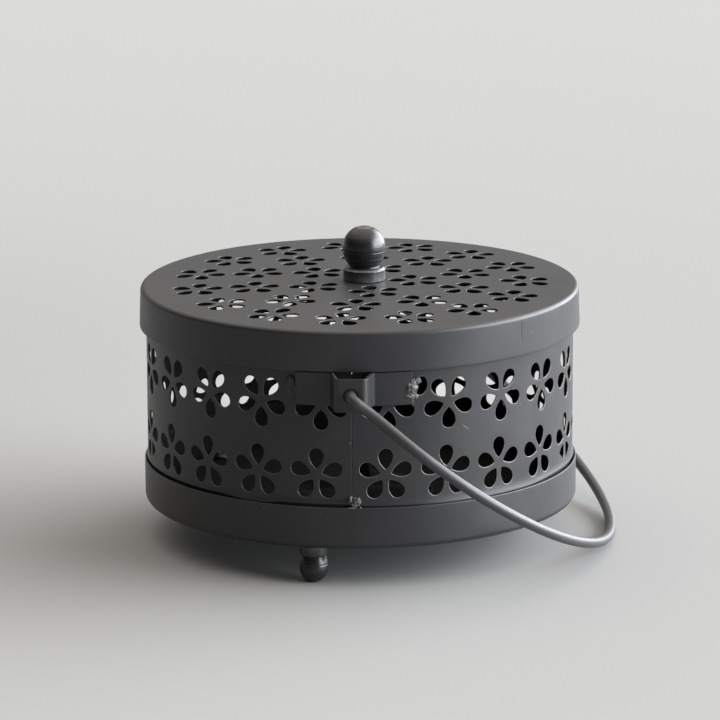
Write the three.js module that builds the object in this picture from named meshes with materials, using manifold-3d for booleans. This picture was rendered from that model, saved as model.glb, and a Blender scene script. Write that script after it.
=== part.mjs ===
// A round mosquito coil box of painted sheet iron: a drawn pan on three ball feet, a rolled wall band
// pierced with flowers, a pierced lid with a ball knob, and a wire bail in two hat-shaped brackets.
// Millimetres, +Z up. The origin is the middle of the pan's underside. The band's seam and the front
// bracket face -Y. The bail turns about a line along Y and hangs to +X, down on the table, at rest.
import * as THREE from "three";
import { mergeVertices } from "three/addons/utils/BufferGeometryUtils.js";
import Module from "manifold-3d";

const wasm = await Module();
wasm.setup();

// Sheet, and the clearances between pieces
const sheet = 0.6;
const flatGap = 0.1; // between flat faces that are fastened together
const curveGap = 0.3; // between a piece and the curved sheet that carries it
const lidSeatGap = 0.3; // between the band's top edge and the lid that rests on it
const overrun = 3; // how far a cutter runs past what it cuts
const cornerReach = 1e-4; // corners of a mesh closer than this are one

// Wall band, a strip rolled to a ring with its butt seam at the front
const bandRadius = 70.6;
const bandHeight = 68.7;
const seamGap = 0.3;

// Pan
const panClearance = 0.4; // from the band to the pan's wall
const panHeight = 13.8;
const panCorner = 2;

// Lid
const lidClearance = 1.1; // from the band to the lid's skirt
const lidSkirt = 13;
const lidFlare = 0.4; // how much wider the skirt is at its hem
const lidEdge = 1.5; // radius of the rounded edge
const lidCrown = 1.1;
const crownPower = 2.6; // above 2 the crown is flat in the middle and falls off near the edge

// Punched flowers, each a star of pointed petals round a solid middle
const petalCount = 5;
const petalWidth = 4.4;
const bandPetalTip = 2.7; // from the flower's middle to a petal's point
const bandPetalLength = 6.2;
const lidPetalTip = 3.1;
const lidPetalLength = 5.6;
const petalShares = [
  [0, 0],
  [0.6, 0.5],
  [0.98, 0.24],
  [0.98, -0.24],
  [0.6, -0.5],
]; // along the petal's length, and across its width

// Flower rows round the band, lowest first: each row's petals point the other way up
const rowPitch = 20; // least distance between two rows
const lowRowMargin = 10.45; // from the lowest row's middles to the pan's rim
const highRowMargin = 10.9; // from the highest row's middles to the lid's hem
const flowerPitch = 19.5; // least distance between two flowers of a row
const seamSpread = 21.6; // between the two flowers beside the seam
const rowSlips = [-0.6, 0.8]; // the punch tool's slip along the strip, in each row

// Flower rings on the lid, innermost first
const ringRadius = 18.1;
const ringPitch = 18.5;
const ringMargin = 4; // least distance from a petal to the lid's edge
const ringTurns = [18.9, 0.3, 16.65].map(THREE.MathUtils.degToRad); // clockwise from +Y

// Bail brackets, strips bent to a hat over the seam and opposite it
const bracketSheet = 1;
const bracketHeight = 10.8;
const bracketDrop = 0.4; // from the lid's hem to the bracket
const bracketHalfSpan = 18.8; // from the hat's middle to the strip's end, along the wall
const hatDepth = 8.6; // from the flanges to the hat's face
const hatFaceWidth = 9.2;
const hatRootWidth = 12.8;
const hatBend = 1.2;
const slotWidth = 4.4; // the oval slot beside each bracket's right end
const slotHeight = 5.9;
const slotOffset = 3.3; // from the strip's end to the slot's middle

// Weld beads
const endWeldSizes = [2.5, 1.2, 2.9]; // half sizes along the wall, outwards and upwards
const seamWeldSizes = [2.6, 1.5, 2.4];
const seamWeldRise = 1.1; // from the pan's rim to the bead's middle

// Bail, a bent wire
const wireRadius = 1.7;
const pivotClearance = 0.7;
const bailInset = 4; // how far the wire's end reaches behind the hat's face
const bailStandOff = 3.5; // from the hat's face to the wire that leaves it
const bailBend = 3.4;
const bailBulge = 5.3; // how far the sides swing out past their roots
const bailShoulder = 32; // from the pivot line to the widest place
const crownStandOff = 11.73; // from the pan's wall to the crown of the bail that lies on the table
const tableGap = 0.2; // under that crown

// Knob and feet, turned balls on collars
const knob = {
  collarRadius: 6.95,
  collarHeight: 3.6,
  chamfer: 0.7,
  neckRadius: 5.1,
  ballRadius: 7.1,
  ballHeight: 10.9,
  flatRadius: 2.2,
  boreRadius: 2.1,
  boreDepth: 9,
};
const foot = {
  collarRadius: 4.6,
  collarHeight: 3.3,
  chamfer: 0.4,
  neckRadius: 3.7,
  ballRadius: 4.7,
  ballHeight: 7.9,
  flatRadius: 1.4,
  boreRadius: 1.8,
  boreDepth: 7,
};
const footCount = 3;
const footTurn = THREE.MathUtils.degToRad(-11.3); // the front foot, from the seam
const footInset = 6.6; // from a foot's middle to the pan's outer wall

// Screws: shank radius and length, head radius and height
const knobScrew = { shank: 1.75, length: 8, head: 3.5, rise: 2.1 };
const footScrew = { shank: 1.45, length: 6, head: 2.9, rise: 1.7 };
const screwClearance = 0.35;
const washerRadius = 4.8;
const washerThickness = 0.8;

// Coil stand, a stamped disc with a tongue folded up that spikes the coil's eye
const standRadius = 24;
const standSheet = 0.6;
const tongueHeight = 18;
const tongueWidth = 5;
const spikeHeight = 7;
const spikeWidth = 2.4;
const tongueSlit = 0.5; // cut round the tongue

// Facets of the round forms
const bandFacets = 44;
const hoopFacets = 48;
const knobFacets = 18;
const footFacets = 12;
const screwFacets = 8;
const standFacets = 24;
const beadFacets = 8;
const wireFacets = 8;
const wireSteps = 50;

// Radii and heights that follow
const panRadius = bandRadius + panClearance + sheet;
const bandBottom = panCorner;
const bandTop = bandBottom + bandHeight;
const lidRadius = bandRadius + lidClearance + sheet;
const lidTop = bandTop + lidSeatGap + sheet;
const lidHem = lidTop - lidSkirt;
const bracketTop = lidHem - bracketDrop;
const pivotHeight = bracketTop - bracketHeight / 2;
const flangeRadius = bandRadius + curveGap + bracketSheet / 2;
const hatRadius = flangeRadius + hatDepth;
const bracketEnd = bracketHalfSpan / flangeRadius;
const footRadius = panRadius - footInset;
const floorRadius = footRadius - 2 * foot.collarRadius; // the flat that the feet leave free
const footHeight = ballTop(foot);
const tableHeight = -flatGap - footHeight;
const bailHalfSpan = hatRadius + bracketSheet / 2 + bailStandOff;
const bailDrop = pivotHeight - tableHeight - wireRadius - tableGap;
const bailReach = Math.hypot(panRadius + crownStandOff, bailDrop);
const bailRestAngle = Math.atan2(bailDrop, panRadius + crownStandOff);

// Height of a turned ball's small end flat over its collar's foot
function ballTop(part) {
  return part.ballHeight + Math.sqrt(part.ballRadius ** 2 - part.flatRadius ** 2);
}

// How high the lid's sheet stands over its edge at a radius
function crownAt(radius) {
  return lidCrown * (1 - (radius / (lidRadius - lidEdge)) ** crownPower);
}

// A place on a cylinder, its angle counted from the front (-Y) towards +X
function onCylinder(radius, angle, height) {
  return new THREE.Vector3(radius * Math.sin(angle), -radius * Math.cos(angle), height);
}

// A closed geometry as a solid, and back
function toSolid(geometry) {
  const bare = geometry.clone();
  bare.deleteAttribute("normal");
  bare.deleteAttribute("uv");
  const merged = mergeVertices(bare, cornerReach);
  const vertProperties = new Float32Array(merged.attributes.position.array);
  const triVerts = new Uint32Array(merged.index.array);
  return new wasm.Manifold(new wasm.Mesh({ numProp: 3, vertProperties, triVerts }));
}

function toGeometry(solid) {
  const mesh = solid.getMesh();
  const geometry = new THREE.BufferGeometry();
  geometry.setAttribute("position", new THREE.BufferAttribute(mesh.vertProperties, 3));
  geometry.setIndex(new THREE.BufferAttribute(mesh.triVerts, 1));
  return geometry.toNonIndexed();
}

function cutFrom(geometry, ...cutters) {
  return toGeometry(cutters.reduce((left, cutter) => left.subtract(toSolid(cutter)), toSolid(geometry)));
}

// A profile of [radius, height] pairs turned round Z, its first facet edge at the front
function turned(profile, facets) {
  const points = profile.map(([radius, height]) => new THREE.Vector2(radius, height));
  return new THREE.LatheGeometry(points, facets).rotateX(Math.PI / 2);
}

// A disc or drum between two heights
function drum(radius, bottom, top, facets) {
  return turned([[0, bottom], [radius, bottom], [radius, top], [0, top]], facets);
}

// A quarter of a circle in a profile, from one angle to another
function arc(middleRadius, middleHeight, radius, from, to, steps) {
  return Array.from({ length: steps + 1 }, (_, i) => {
    const angle = from + ((to - from) * i) / steps;
    return [middleRadius + radius * Math.cos(angle), middleHeight + radius * Math.sin(angle)];
  });
}

// A flat outline given by points, made solid
function plate(points, thickness) {
  const shape = new THREE.Shape(points.map(([x, y]) => new THREE.Vector2(x, y)));
  return new THREE.ExtrudeGeometry(shape, { depth: thickness, bevelEnabled: false });
}

// The petals of a flower as flat outlines, clockwise, the first one along an angle
function flower(middle, tip, length, firstAngle) {
  return Array.from({ length: petalCount }, (_, i) => {
    const angle = firstAngle + (2 * Math.PI * i) / petalCount;
    return petalShares.map(([along, across]) => {
      const point = new THREE.Vector2(tip + length * along, petalWidth * across);
      return point.rotateAround(new THREE.Vector2(), angle).add(middle);
    });
  });
}

// A sheet as triangles. Flat tiles with holes, and strips of wall, are carried to their places by
// place(point, depth), where depth counts from the outer face to the inner one
class Sheet {
  constructor(place) {
    this.place = place;
    this.corners = [];
  }

  face(contour, holes) {
    const flat = [...contour, ...holes.flat()];
    for (const triple of THREE.ShapeUtils.triangulateShape([...contour], holes)) {
      const points = triple.map((i) => flat[i]);
      if (THREE.ShapeUtils.isClockWise(points)) {
        points.reverse();
      }
      this.corners.push(...points.map((point) => this.place(point, 0)));
      this.corners.push(...points.reverse().map((point) => this.place(point, sheet)));
    }
    holes.forEach((hole) => this.edge(hole));
  }

  // The sheet's edge along a closed outline that has the sheet on its left, bare or by way of rings
  edge(outline, rings = []) {
    const loops = [
      outline.map((point) => this.place(point, 0)),
      ...rings,
      outline.map((point) => this.place(point, sheet)),
    ];
    for (let i = 1; i < loops.length; i++) {
      const [before, after] = [loops[i - 1], loops[i]];
      for (let j = 0; j < outline.length; j++) {
        const next = (j + 1) % outline.length;
        this.corners.push(after[j], after[next], before[next]);
        this.corners.push(after[j], before[next], before[j]);
      }
    }
  }

  geometry() {
    return new THREE.BufferGeometry().setFromPoints(this.corners);
  }
}

// The wall band: its strip is punched flat, tile by tile with one flower of each row, then rolled up
function rolledBand() {
  const lowest = panHeight + lowRowMargin - bandBottom;
  const highest = lidHem - highRowMargin - bandBottom;
  const rows = 1 + Math.max(0, Math.floor((highest - lowest) / rowPitch));
  const rowStep = rows > 1 ? (highest - lowest) / (rows - 1) : 0;
  const girth = 2 * Math.PI * bandRadius;
  const steps = Math.floor((girth - seamSpread) / flowerPitch);
  const step = (girth - seamSpread) / steps;
  const strip = new Sheet((point, depth) =>
    onCylinder(bandRadius - depth, point.x / bandRadius, bandBottom + point.y),
  );
  const bottom = [new THREE.Vector2(seamGap / 2, 0)];
  for (let i = 0; i <= steps; i++) {
    const middle = seamSpread / 2 + step * i;
    const end = i < steps ? middle + step / 2 : girth - seamGap / 2;
    bottom.push(new THREE.Vector2(middle, 0), new THREE.Vector2(end, 0));
    const below = bottom.slice(-3);
    const above = below.map((point) => new THREE.Vector2(point.x, bandHeight)).reverse();
    const holes = [];
    for (let row = 0; row < rows; row++) {
      const place = new THREE.Vector2(middle + rowSlips[row % rowSlips.length], lowest + rowStep * row);
      const firstPetal = row % 2 ? -Math.PI / 2 : Math.PI / 2;
      holes.push(...flower(place, bandPetalTip, bandPetalLength, firstPetal));
    }
    strip.face([...below, ...above], holes);
  }
  const top = bottom.map((point) => new THREE.Vector2(point.x, bandHeight)).reverse();
  strip.edge([...bottom, ...top]);
  return strip.geometry();
}

// The band with the oval slot beside each bracket's right end
function wallBand() {
  const reach = bandRadius + overrun;
  const slot = turned([[0, 0], [slotWidth / 2, 0], [slotWidth / 2, reach], [0, reach]], screwFacets);
  slot.rotateX(Math.PI / 2).scale(1, 1, slotHeight / slotWidth).translate(0, 0, pivotHeight);
  const offset = bracketEnd + slotOffset / bandRadius;
  return cutFrom(rolledBand(), ...[0, Math.PI].map((side) => slot.clone().rotateZ(side + offset)));
}

function footPlaces() {
  return Array.from({ length: footCount }, (_, i) =>
    onCylinder(footRadius, footTurn + (2 * Math.PI * i) / footCount, 0).toArray(),
  );
}

// The pan, with a hole for each foot's screw
function basePan() {
  const cornerMiddle = panRadius - panCorner;
  const profile = [
    [0, 0],
    [floorRadius, 0],
    ...arc(cornerMiddle, panCorner, panCorner, -Math.PI / 2, 0, 3),
    [panRadius, panHeight],
    [panRadius - sheet, panHeight],
    ...arc(cornerMiddle, panCorner, panCorner - sheet, 0, -Math.PI / 2, 2),
    [0, sheet],
  ];
  const hole = drum(footScrew.shank + screwClearance, -overrun, sheet + overrun, screwFacets);
  const holes = footPlaces().map(([x, y]) => hole.clone().translate(x, y, 0));
  return cutFrom(turned(profile, hoopFacets), ...holes);
}

// The flowers of the lid as seen from above: in each, one petal points at the lid's middle
function lidFlowers() {
  const room = lidRadius - lidEdge - ringMargin - lidPetalTip - lidPetalLength - ringRadius;
  const rings = 1 + Math.max(0, Math.floor(room / ringPitch));
  const outlines = [];
  for (let ring = 0; ring < rings; ring++) {
    const count = petalCount * (ring + 1);
    for (let i = 0; i < count; i++) {
      const angle = Math.PI / 2 - ringTurns[ring % ringTurns.length] - (2 * Math.PI * i) / count;
      const middle = new THREE.Vector2(ringRadius + ringPitch * ring, 0);
      middle.rotateAround(new THREE.Vector2(), angle);
      outlines.push(...flower(middle, lidPetalTip, lidPetalLength, angle + Math.PI));
    }
  }
  return outlines;
}

// The lid is one pressed sheet: a crowned face with holes, whose rim runs over the rounded edge,
// down the skirt, round its hem and back up inside
function lidShell() {
  const edgeMiddle = lidRadius - lidEdge;
  const shoulder = lidTop - lidEdge;
  const profile = [
    ...arc(edgeMiddle, shoulder, lidEdge, Math.PI / 2, 0, 3).slice(1),
    [lidRadius + lidFlare, lidHem],
    [lidRadius + lidFlare - sheet, lidHem],
    ...arc(edgeMiddle, shoulder, lidEdge - sheet, 0, Math.PI / 2, 2).slice(0, -1),
  ];
  const circle = (radius, facets) =>
    arc(0, 0, radius, -Math.PI / 2, (3 * Math.PI) / 2, facets)
      .slice(1)
      .map(([x, y]) => new THREE.Vector2(x, y));
  const contour = circle(edgeMiddle, hoopFacets);
  const rings = profile.map(([radius, height]) =>
    circle(radius, hoopFacets).map((point) => new THREE.Vector3(point.x, point.y, height)),
  );
  const screwHole = circle(knobScrew.shank + screwClearance, screwFacets).reverse();
  const lid = new Sheet((point, depth) => {
    const height = lidTop - depth + crownAt(point.length());
    return new THREE.Vector3(point.x, point.y, height);
  });
  lid.face(contour, [screwHole, ...lidFlowers()]);
  lid.edge(contour, rings);
  return lid.geometry();
}

// A bent strip seen from above: its middle line thickened to both sides, with mitred bends
function bentStrip(line, thickness, height) {
  const sides = line.map((point, i) => {
    const before = line[Math.max(i - 1, 0)];
    const after = line[Math.min(i + 1, line.length - 1)];
    const into = point.clone().sub(before).normalize();
    const out = after.clone().sub(point).normalize();
    const along = into.clone().add(out).normalize();
    const mitre = Math.max(along.dot(into), along.dot(out));
    return new THREE.Vector2(-along.y, along.x).multiplyScalar(thickness / 2 / mitre);
  });
  const left = line.map((point, i) => point.clone().add(sides[i]).toArray());
  const right = line.map((point, i) => point.clone().sub(sides[i]).toArray());
  return plate([...left, ...right.reverse()], height);
}

// The middle line of a bracket: a flange round the wall, the hat with its bends eased, a flange
function bracketLine() {
  const rootAngle = Math.asin(hatRootWidth / 2 / flangeRadius);
  const flange = Array.from({ length: 4 }, (_, i) => bracketEnd + ((rootAngle - bracketEnd) * i) / 3);
  const right = flange.map((angle) => onCylinder(flangeRadius, angle, 0));
  const root = right.at(-1);
  const corner = new THREE.Vector3(hatFaceWidth / 2, -hatRadius, 0);
  right.push(corner.clone().lerp(root, hatBend / corner.distanceTo(root)));
  right.push(corner.clone().setX(corner.x - hatBend));
  const left = right.map((point) => point.clone().setX(-point.x)).reverse();
  return [...right, ...left].map((point) => new THREE.Vector2(point.x, point.y));
}

function bracket() {
  const blank = bentStrip(bracketLine(), bracketSheet, bracketHeight);
  blank.translate(0, 0, bracketTop - bracketHeight);
  const depth = bracketSheet + 2 * overrun;
  const hole = drum(wireRadius + pivotClearance, 0, depth, footFacets);
  hole.rotateX(Math.PI / 2).translate(0, -hatRadius + depth / 2, pivotHeight);
  return cutFrom(blank, hole);
}

// A bead of weld metal: a ball drawn out to its half sizes, less what it runs over
function weldBead(halfSizes, angle, radius, height, ...cutters) {
  const bead = new THREE.SphereGeometry(1, beadFacets, beadFacets / 2).rotateX(Math.PI / 2).scale(...halfSizes);
  const place = onCylinder(radius, angle, height);
  bead.rotateZ(angle).translate(...place.toArray());
  return cutFrom(bead, ...cutters);
}

// The room the wall band takes up, its flats pushed out so that they clear the flanges' inner faces
function bandKeepOut() {
  const radius = (bandRadius + curveGap) / Math.cos(Math.PI / bandFacets);
  return drum(radius, bandBottom, bandTop, bandFacets);
}

function endWeld(side) {
  const strip = bentStrip(bracketLine(), bracketSheet + 2 * flatGap, bracketHeight);
  strip.translate(0, 0, bracketTop - bracketHeight);
  return weldBead(endWeldSizes, side * bracketEnd, flangeRadius, pivotHeight, bandKeepOut(), strip);
}

function seamWeld() {
  const rim = drum(panRadius + flatGap, bandBottom, panHeight + flatGap, hoopFacets);
  const height = panHeight + seamWeldRise;
  return weldBead(seamWeldSizes, 0, bandRadius + curveGap, height, bandKeepOut(), rim);
}

// The bail's middle line: along the hat's hole, round a bend, out along the side and round the crown,
// measured in its own plane, with x the distance from the pivot line
class BailCurve extends THREE.Curve {
  getPoint(t) {
    const side = t < 0.5 ? -1 : 1;
    const u = 1 - Math.abs(2 * t - 1);
    const [reach, half] = BailCurve.halfPlace(u);
    return new THREE.Vector3(reach, side * half, 0);
  }

  getUtoTmapping(u) {
    return u;
  }

  static halfPlace(u) {
    const [leg, bend, flank] = [0.04, 0.2, 0.4]; // shares of the steps spent on each stretch
    if (u < leg) {
      return [0, bailHalfSpan - bailBend - bailInset * (1 - u / leg)];
    }
    if (u < bend) {
      const angle = ((Math.PI / 2) * (u - leg)) / (bend - leg);
      return [bailBend * (1 - Math.cos(angle)), bailHalfSpan - bailBend * (1 - Math.sin(angle))];
    }
    if (u < flank) {
      const along = (u - bend) / (flank - bend);
      const ease = (1 - Math.cos(Math.PI * along)) / 2;
      return [bailBend + (bailShoulder - bailBend) * along, bailHalfSpan + bailBulge * ease];
    }
    const angle = ((Math.PI / 2) * (u - flank)) / (1 - flank);
    return [
      bailShoulder + (bailReach - bailShoulder) * Math.sin(angle),
      (bailHalfSpan + bailBulge) * Math.cos(angle),
    ];
  }
}

function bailWire() {
  const section = arc(0, 0, wireRadius, 0, 2 * Math.PI, wireFacets).slice(1);
  const shape = new THREE.Shape(section.map(([x, y]) => new THREE.Vector2(x, y)));
  const extrudePath = new BailCurve();
  return new THREE.ExtrudeGeometry(shape, { steps: wireSteps, bevelEnabled: false, extrudePath });
}

// A ball on a collar, standing on its collar, with a blind bore for its screw
function turnedBall(part, facets) {
  const drop = part.ballHeight - part.collarHeight;
  const neckAngle = Math.acos(part.neckRadius / part.ballRadius);
  const stretch = drop / Math.sin(neckAngle);
  const lower = arc(0, 0, 1, -neckAngle, 0, 3).map(([x, y]) => [
    part.ballRadius * x,
    part.ballHeight + stretch * y,
  ]);
  const flatAngle = Math.acos(part.flatRadius / part.ballRadius);
  return turned(
    [
      [0, part.boreDepth],
      [part.boreRadius, part.boreDepth],
      [part.boreRadius, 0],
      [part.collarRadius, 0],
      [part.collarRadius, part.collarHeight - part.chamfer],
      [part.collarRadius - part.chamfer, part.collarHeight],
      ...lower,
      ...arc(0, part.ballHeight, part.ballRadius, 0, flatAngle, 4).slice(1),
      [0, ballTop(part)],
    ],
    facets,
  );
}

// A screw standing on its head's underside, shank downwards
function screw({ shank, length, head, rise }) {
  return turned(
    [
      [0, -length],
      [shank, -length],
      [shank, 0],
      [head, 0],
      [head, rise / 2],
      [head / 2, rise],
      [0, rise],
    ],
    screwFacets,
  );
}

function washer() {
  const inner = knobScrew.shank + screwClearance;
  const profile = [
    [inner, -washerThickness],
    [washerRadius, -washerThickness],
    [washerRadius, 0],
    [inner, 0],
    [inner, -washerThickness],
  ];
  return turned(profile, footFacets);
}

// The stand's tongue is cut from its own disc, folded up at the middle, and leaves its slit behind
function coilStand() {
  const outline = [
    [tongueWidth / 2, 0],
    [tongueWidth / 2, tongueHeight - spikeHeight],
    [spikeWidth / 2, tongueHeight - spikeHeight],
    [spikeWidth / 2, tongueHeight - spikeWidth / 2],
    [0, tongueHeight],
    [-spikeWidth / 2, tongueHeight - spikeWidth / 2],
    [-spikeWidth / 2, tongueHeight - spikeHeight],
    [-tongueWidth / 2, tongueHeight - spikeHeight],
    [-tongueWidth / 2, 0],
  ];
  const tongue = plate(outline, standSheet).rotateX(Math.PI / 2);
  const slitWidth = tongueWidth + 2 * tongueSlit;
  const slit = new THREE.BoxGeometry(slitWidth, tongueHeight, standSheet + 2 * overrun);
  slit.translate(0, tongueHeight / 2, 0);
  const disc = drum(standRadius, 0, standSheet, standFacets);
  return toGeometry(toSolid(disc).subtract(toSolid(slit)).add(toSolid(tongue)));
}

const paint = { color: 0x3b3b3d, roughness: 0.55, metalness: 0.25 };
const turnedPaint = { color: 0x2f2f31, roughness: 0.42, metalness: 0.3 };
const wirePaint = { color: 0x48484a, roughness: 0.4, metalness: 0.35 };
const weldMetal = { color: 0x6e6c6a, roughness: 0.6, metalness: 0.6 };
const zincSteel = { color: 0xa9abad, roughness: 0.4, metalness: 0.9 };

function piece(name, geometry, finish) {
  const mesh = new THREE.Mesh(geometry, new THREE.MeshStandardMaterial(finish));
  mesh.name = name;
  return mesh;
}

// The box: all that stands on the table and stays together
const box = new THREE.Group();
box.add(piece("base_pan", basePan(), paint));
box.add(piece("wall_band", wallBand(), paint));
for (const [end, turn] of [["front", 0], ["rear", Math.PI]]) {
  const ear = new THREE.Group();
  ear.rotation.z = turn;
  ear.add(piece(end + "_bracket", bracket(), paint));
  ear.add(piece(end + "_bracket_weld_1", endWeld(-1), weldMetal));
  ear.add(piece(end + "_bracket_weld_2", endWeld(1), weldMetal));
  box.add(ear);
}
box.add(piece("seam_weld", seamWeld(), weldMetal));
footPlaces().forEach(([x, y], i) => {
  const ball = piece("ball_foot_" + (i + 1), turnedBall(foot, footFacets), turnedPaint);
  ball.rotation.x = Math.PI;
  ball.position.set(x, y, -flatGap);
  const fixing = piece("foot_screw_" + (i + 1), screw(footScrew), zincSteel);
  fixing.position.set(x, y, sheet + flatGap);
  box.add(ball, fixing);
});
const stand = piece("coil_stand", coilStand(), zincSteel);
stand.position.z = sheet + flatGap;
box.add(stand);

// The lid and what is screwed to it
const lid = new THREE.Group();
lid.add(piece("lid_shell", lidShell(), paint));
const lidMiddle = lidTop + lidCrown;
const ball = piece("lid_knob", turnedBall(knob, knobFacets), turnedPaint);
ball.position.z = lidMiddle + flatGap;
const ring = piece("knob_washer", washer(), zincSteel);
ring.position.z = lidMiddle - sheet - flatGap;
const bolt = piece("knob_screw", screw(knobScrew), zincSteel);
bolt.rotation.x = Math.PI;
bolt.position.z = ring.position.z - washerThickness - flatGap;
lid.add(ball, ring, bolt);

// The bail, turned down about the pivot line until it lies on the table
const bail = new THREE.Group();
bail.position.z = pivotHeight;
bail.rotation.y = bailRestAngle;
bail.add(piece("bail_handle", bailWire(), wirePaint));

const coilBox = new THREE.Group();
coilBox.add(box, lid, bail);
export default coilBox;
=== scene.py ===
import math
from collections import namedtuple

import bmesh
import bpy
import numpy as np
from mathutils import Matrix, Vector, noise
from mathutils.geometry import delaunay_2d_cdt
from mathutils.kdtree import KDTree


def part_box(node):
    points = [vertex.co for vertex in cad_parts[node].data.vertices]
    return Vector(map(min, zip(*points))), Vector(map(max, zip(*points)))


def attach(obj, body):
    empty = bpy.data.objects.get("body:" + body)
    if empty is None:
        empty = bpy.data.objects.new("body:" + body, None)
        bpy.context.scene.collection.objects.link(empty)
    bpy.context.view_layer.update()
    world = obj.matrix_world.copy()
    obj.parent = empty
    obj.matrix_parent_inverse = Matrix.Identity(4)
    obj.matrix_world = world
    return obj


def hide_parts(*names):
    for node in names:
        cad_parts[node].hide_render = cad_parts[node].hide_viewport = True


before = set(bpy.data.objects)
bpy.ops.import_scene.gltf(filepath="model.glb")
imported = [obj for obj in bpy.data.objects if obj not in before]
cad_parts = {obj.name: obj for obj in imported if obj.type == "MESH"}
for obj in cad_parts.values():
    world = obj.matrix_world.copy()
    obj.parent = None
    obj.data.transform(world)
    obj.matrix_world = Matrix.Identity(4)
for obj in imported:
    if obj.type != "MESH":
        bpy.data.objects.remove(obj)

bl_info = {
    "name": "Pierced Coil Box",
    "version": (1, 0, 0),
    "blender": (4, 5, 0),
    "location": "View3D > Sidebar > Coil Box",
    "description": "Builds a round pierced sheet-iron box for a mosquito coil",
    "category": "Add Mesh",
}

MM = 0.001
TURN = 2 * math.pi
FRONT, REAR = 0.0, math.pi
WALL_RADIUS = 70.6


# Sizes and colours that a user would change


def length(label, millimetres, description):
    return bpy.props.FloatProperty(
        name=label, description=description, default=millimetres * MM, min=0, unit="LENGTH", precision=4
    )


def angle(label, degrees, description):
    return bpy.props.FloatProperty(
        name=label, description=description, default=math.radians(degrees), subtype="ANGLE"
    )


def tone(label, red, green, blue, description):
    return bpy.props.FloatVectorProperty(
        name=label, description=description, default=(red, green, blue), subtype="COLOR", size=3, min=0, max=1
    )


def share(label, value, description):
    return bpy.props.FloatProperty(name=label, description=description, default=value, min=0, max=1)


class CoilBoxSizes(bpy.types.PropertyGroup):
    """Sizes of the box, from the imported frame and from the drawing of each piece"""

    sheet: length("Sheet", 0.6, "Thickness of the wall, the pan and the lid")
    edge_roll: length("Punched edge", 0.2, "Radius that the punch leaves on an edge of the sheet")
    burr: length("Burr side", 0.06, "Chamfer on the far side of a punched edge")
    band_radius: length("Wall radius", WALL_RADIUS, "Outer radius of the rolled wall")
    band_bottom: length("Wall's lower edge", 2.0, "Height of the wall's lower edge over the pan's underside")
    band_height: length("Wall height", 68.7, "Height of the rolled strip")
    seam_gap: length("Seam", 0.12, "Gap of the wall's butt seam")
    pan_radius: length("Pan radius", 71.6, "Outer radius of the pan")
    pan_height: length("Pan height", 13.8, "Height of the pan's rim")
    pan_corner: length("Pan corner", 2.0, "Radius of the pan's lower corner")
    lid_radius: length("Lid radius", 72.3, "Outer radius of the lid under its rounded edge")
    lid_top: length("Lid height", 71.6, "Height of the lid's edge over the pan's underside")
    lid_skirt: length("Skirt", 13.0, "Height of the lid's skirt")
    lid_flare: length("Skirt flare", 0.4, "How much wider the skirt is at its hem")
    lid_edge: length("Lid edge", 1.5, "Radius of the lid's rounded edge")
    lid_crown: length("Crown", 1.1, "Rise of the lid's middle")
    petal_width: length("Petal width", 4.8, "Widest place of a petal")
    band_petal_tip: length("Wall petal point", 1.95, "From a wall flower's middle to the petals' points")
    band_petal_length: length("Wall petal length", 6.8, "Length of the wall's petals")
    knob_slip: length("Knob slip", 1.6, "How far the knob sits to the right of the lid's middle")
    lid_petal_tip: length("Lid petal point", 2.25, "From a lid flower's middle to the petals' points")
    lid_petal_length: length("Lid petal length", 6.25, "Length of the lid's petals")
    flower_pitch: length("Flower pitch", 19.5, "Least distance between two flowers of a row")
    seam_spread: length("Seam spread", 21.6, "Between the two flowers beside the seam")
    low_row: length("Lower row", 24.25, "Height of the lower row's middles")
    high_row: length("Upper row", 47.7, "Height of the upper row's middles")
    ring_radius: length("Inner ring", 18.1, "Radius of the lid's inner ring of flowers")
    ring_pitch: length("Ring pitch", 18.5, "From one ring of flowers to the next")
    bracket_sheet: length("Bracket sheet", 1.0, "Thickness of the bail brackets")
    bracket_top: length("Bracket top", 58.2, "Height of the brackets' upper edge")
    bracket_height: length("Bracket height", 10.8, "Height of the bracket strips")
    bracket_half_span: length("Bracket half span", 18.7, "From the hat's middle to the strip's end")
    bracket_slip: length("Bracket slip", 0.6, "Half of how much further the strip reaches to its right")
    slot_span: length("Slot span", 22.1, "From the hat's middle to the slot beside its right end")
    flange_radius: length("Flange radius", 71.4, "Radius of the flanges' middle line")
    hat_depth: length("Hat depth", 8.6, "From the flanges to the hat's face")
    hat_face: length("Hat face", 9.2, "Width of the hat's face")
    hat_root: length("Hat root", 12.8, "Width of the hat at the wall")
    pivot_hole: length("Pivot hole", 2.4, "Radius of the hole in the hat's face")
    wire_radius: length("Wire radius", 1.7, "Radius of the bail's wire")
    bail_inset: length("Bail inset", 4.0, "How far the wire's end reaches behind the hat's face")
    bail_half_span: length("Bail half span", 84.0, "From the middle to the wire that leaves the hat")
    bail_bend: length("Bail bend", 3.4, "Radius of the bend beside the hat")
    bail_bulge: length("Bail bulge", 5.3, "How far the sides swing out past their roots")
    bail_shoulder: length("Bail shoulder", 32.0, "From the pivot line to the widest place")
    crown_stand_off: length("Crown stand-off", 11.73, "From the pan's wall to the crown of the bail")
    foot_radius: length("Foot circle", 65.0, "Radius of the circle that the feet stand on")
    foot_turn: angle("Foot turn", -11.3, "Where the front foot stands, from the seam")


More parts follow.
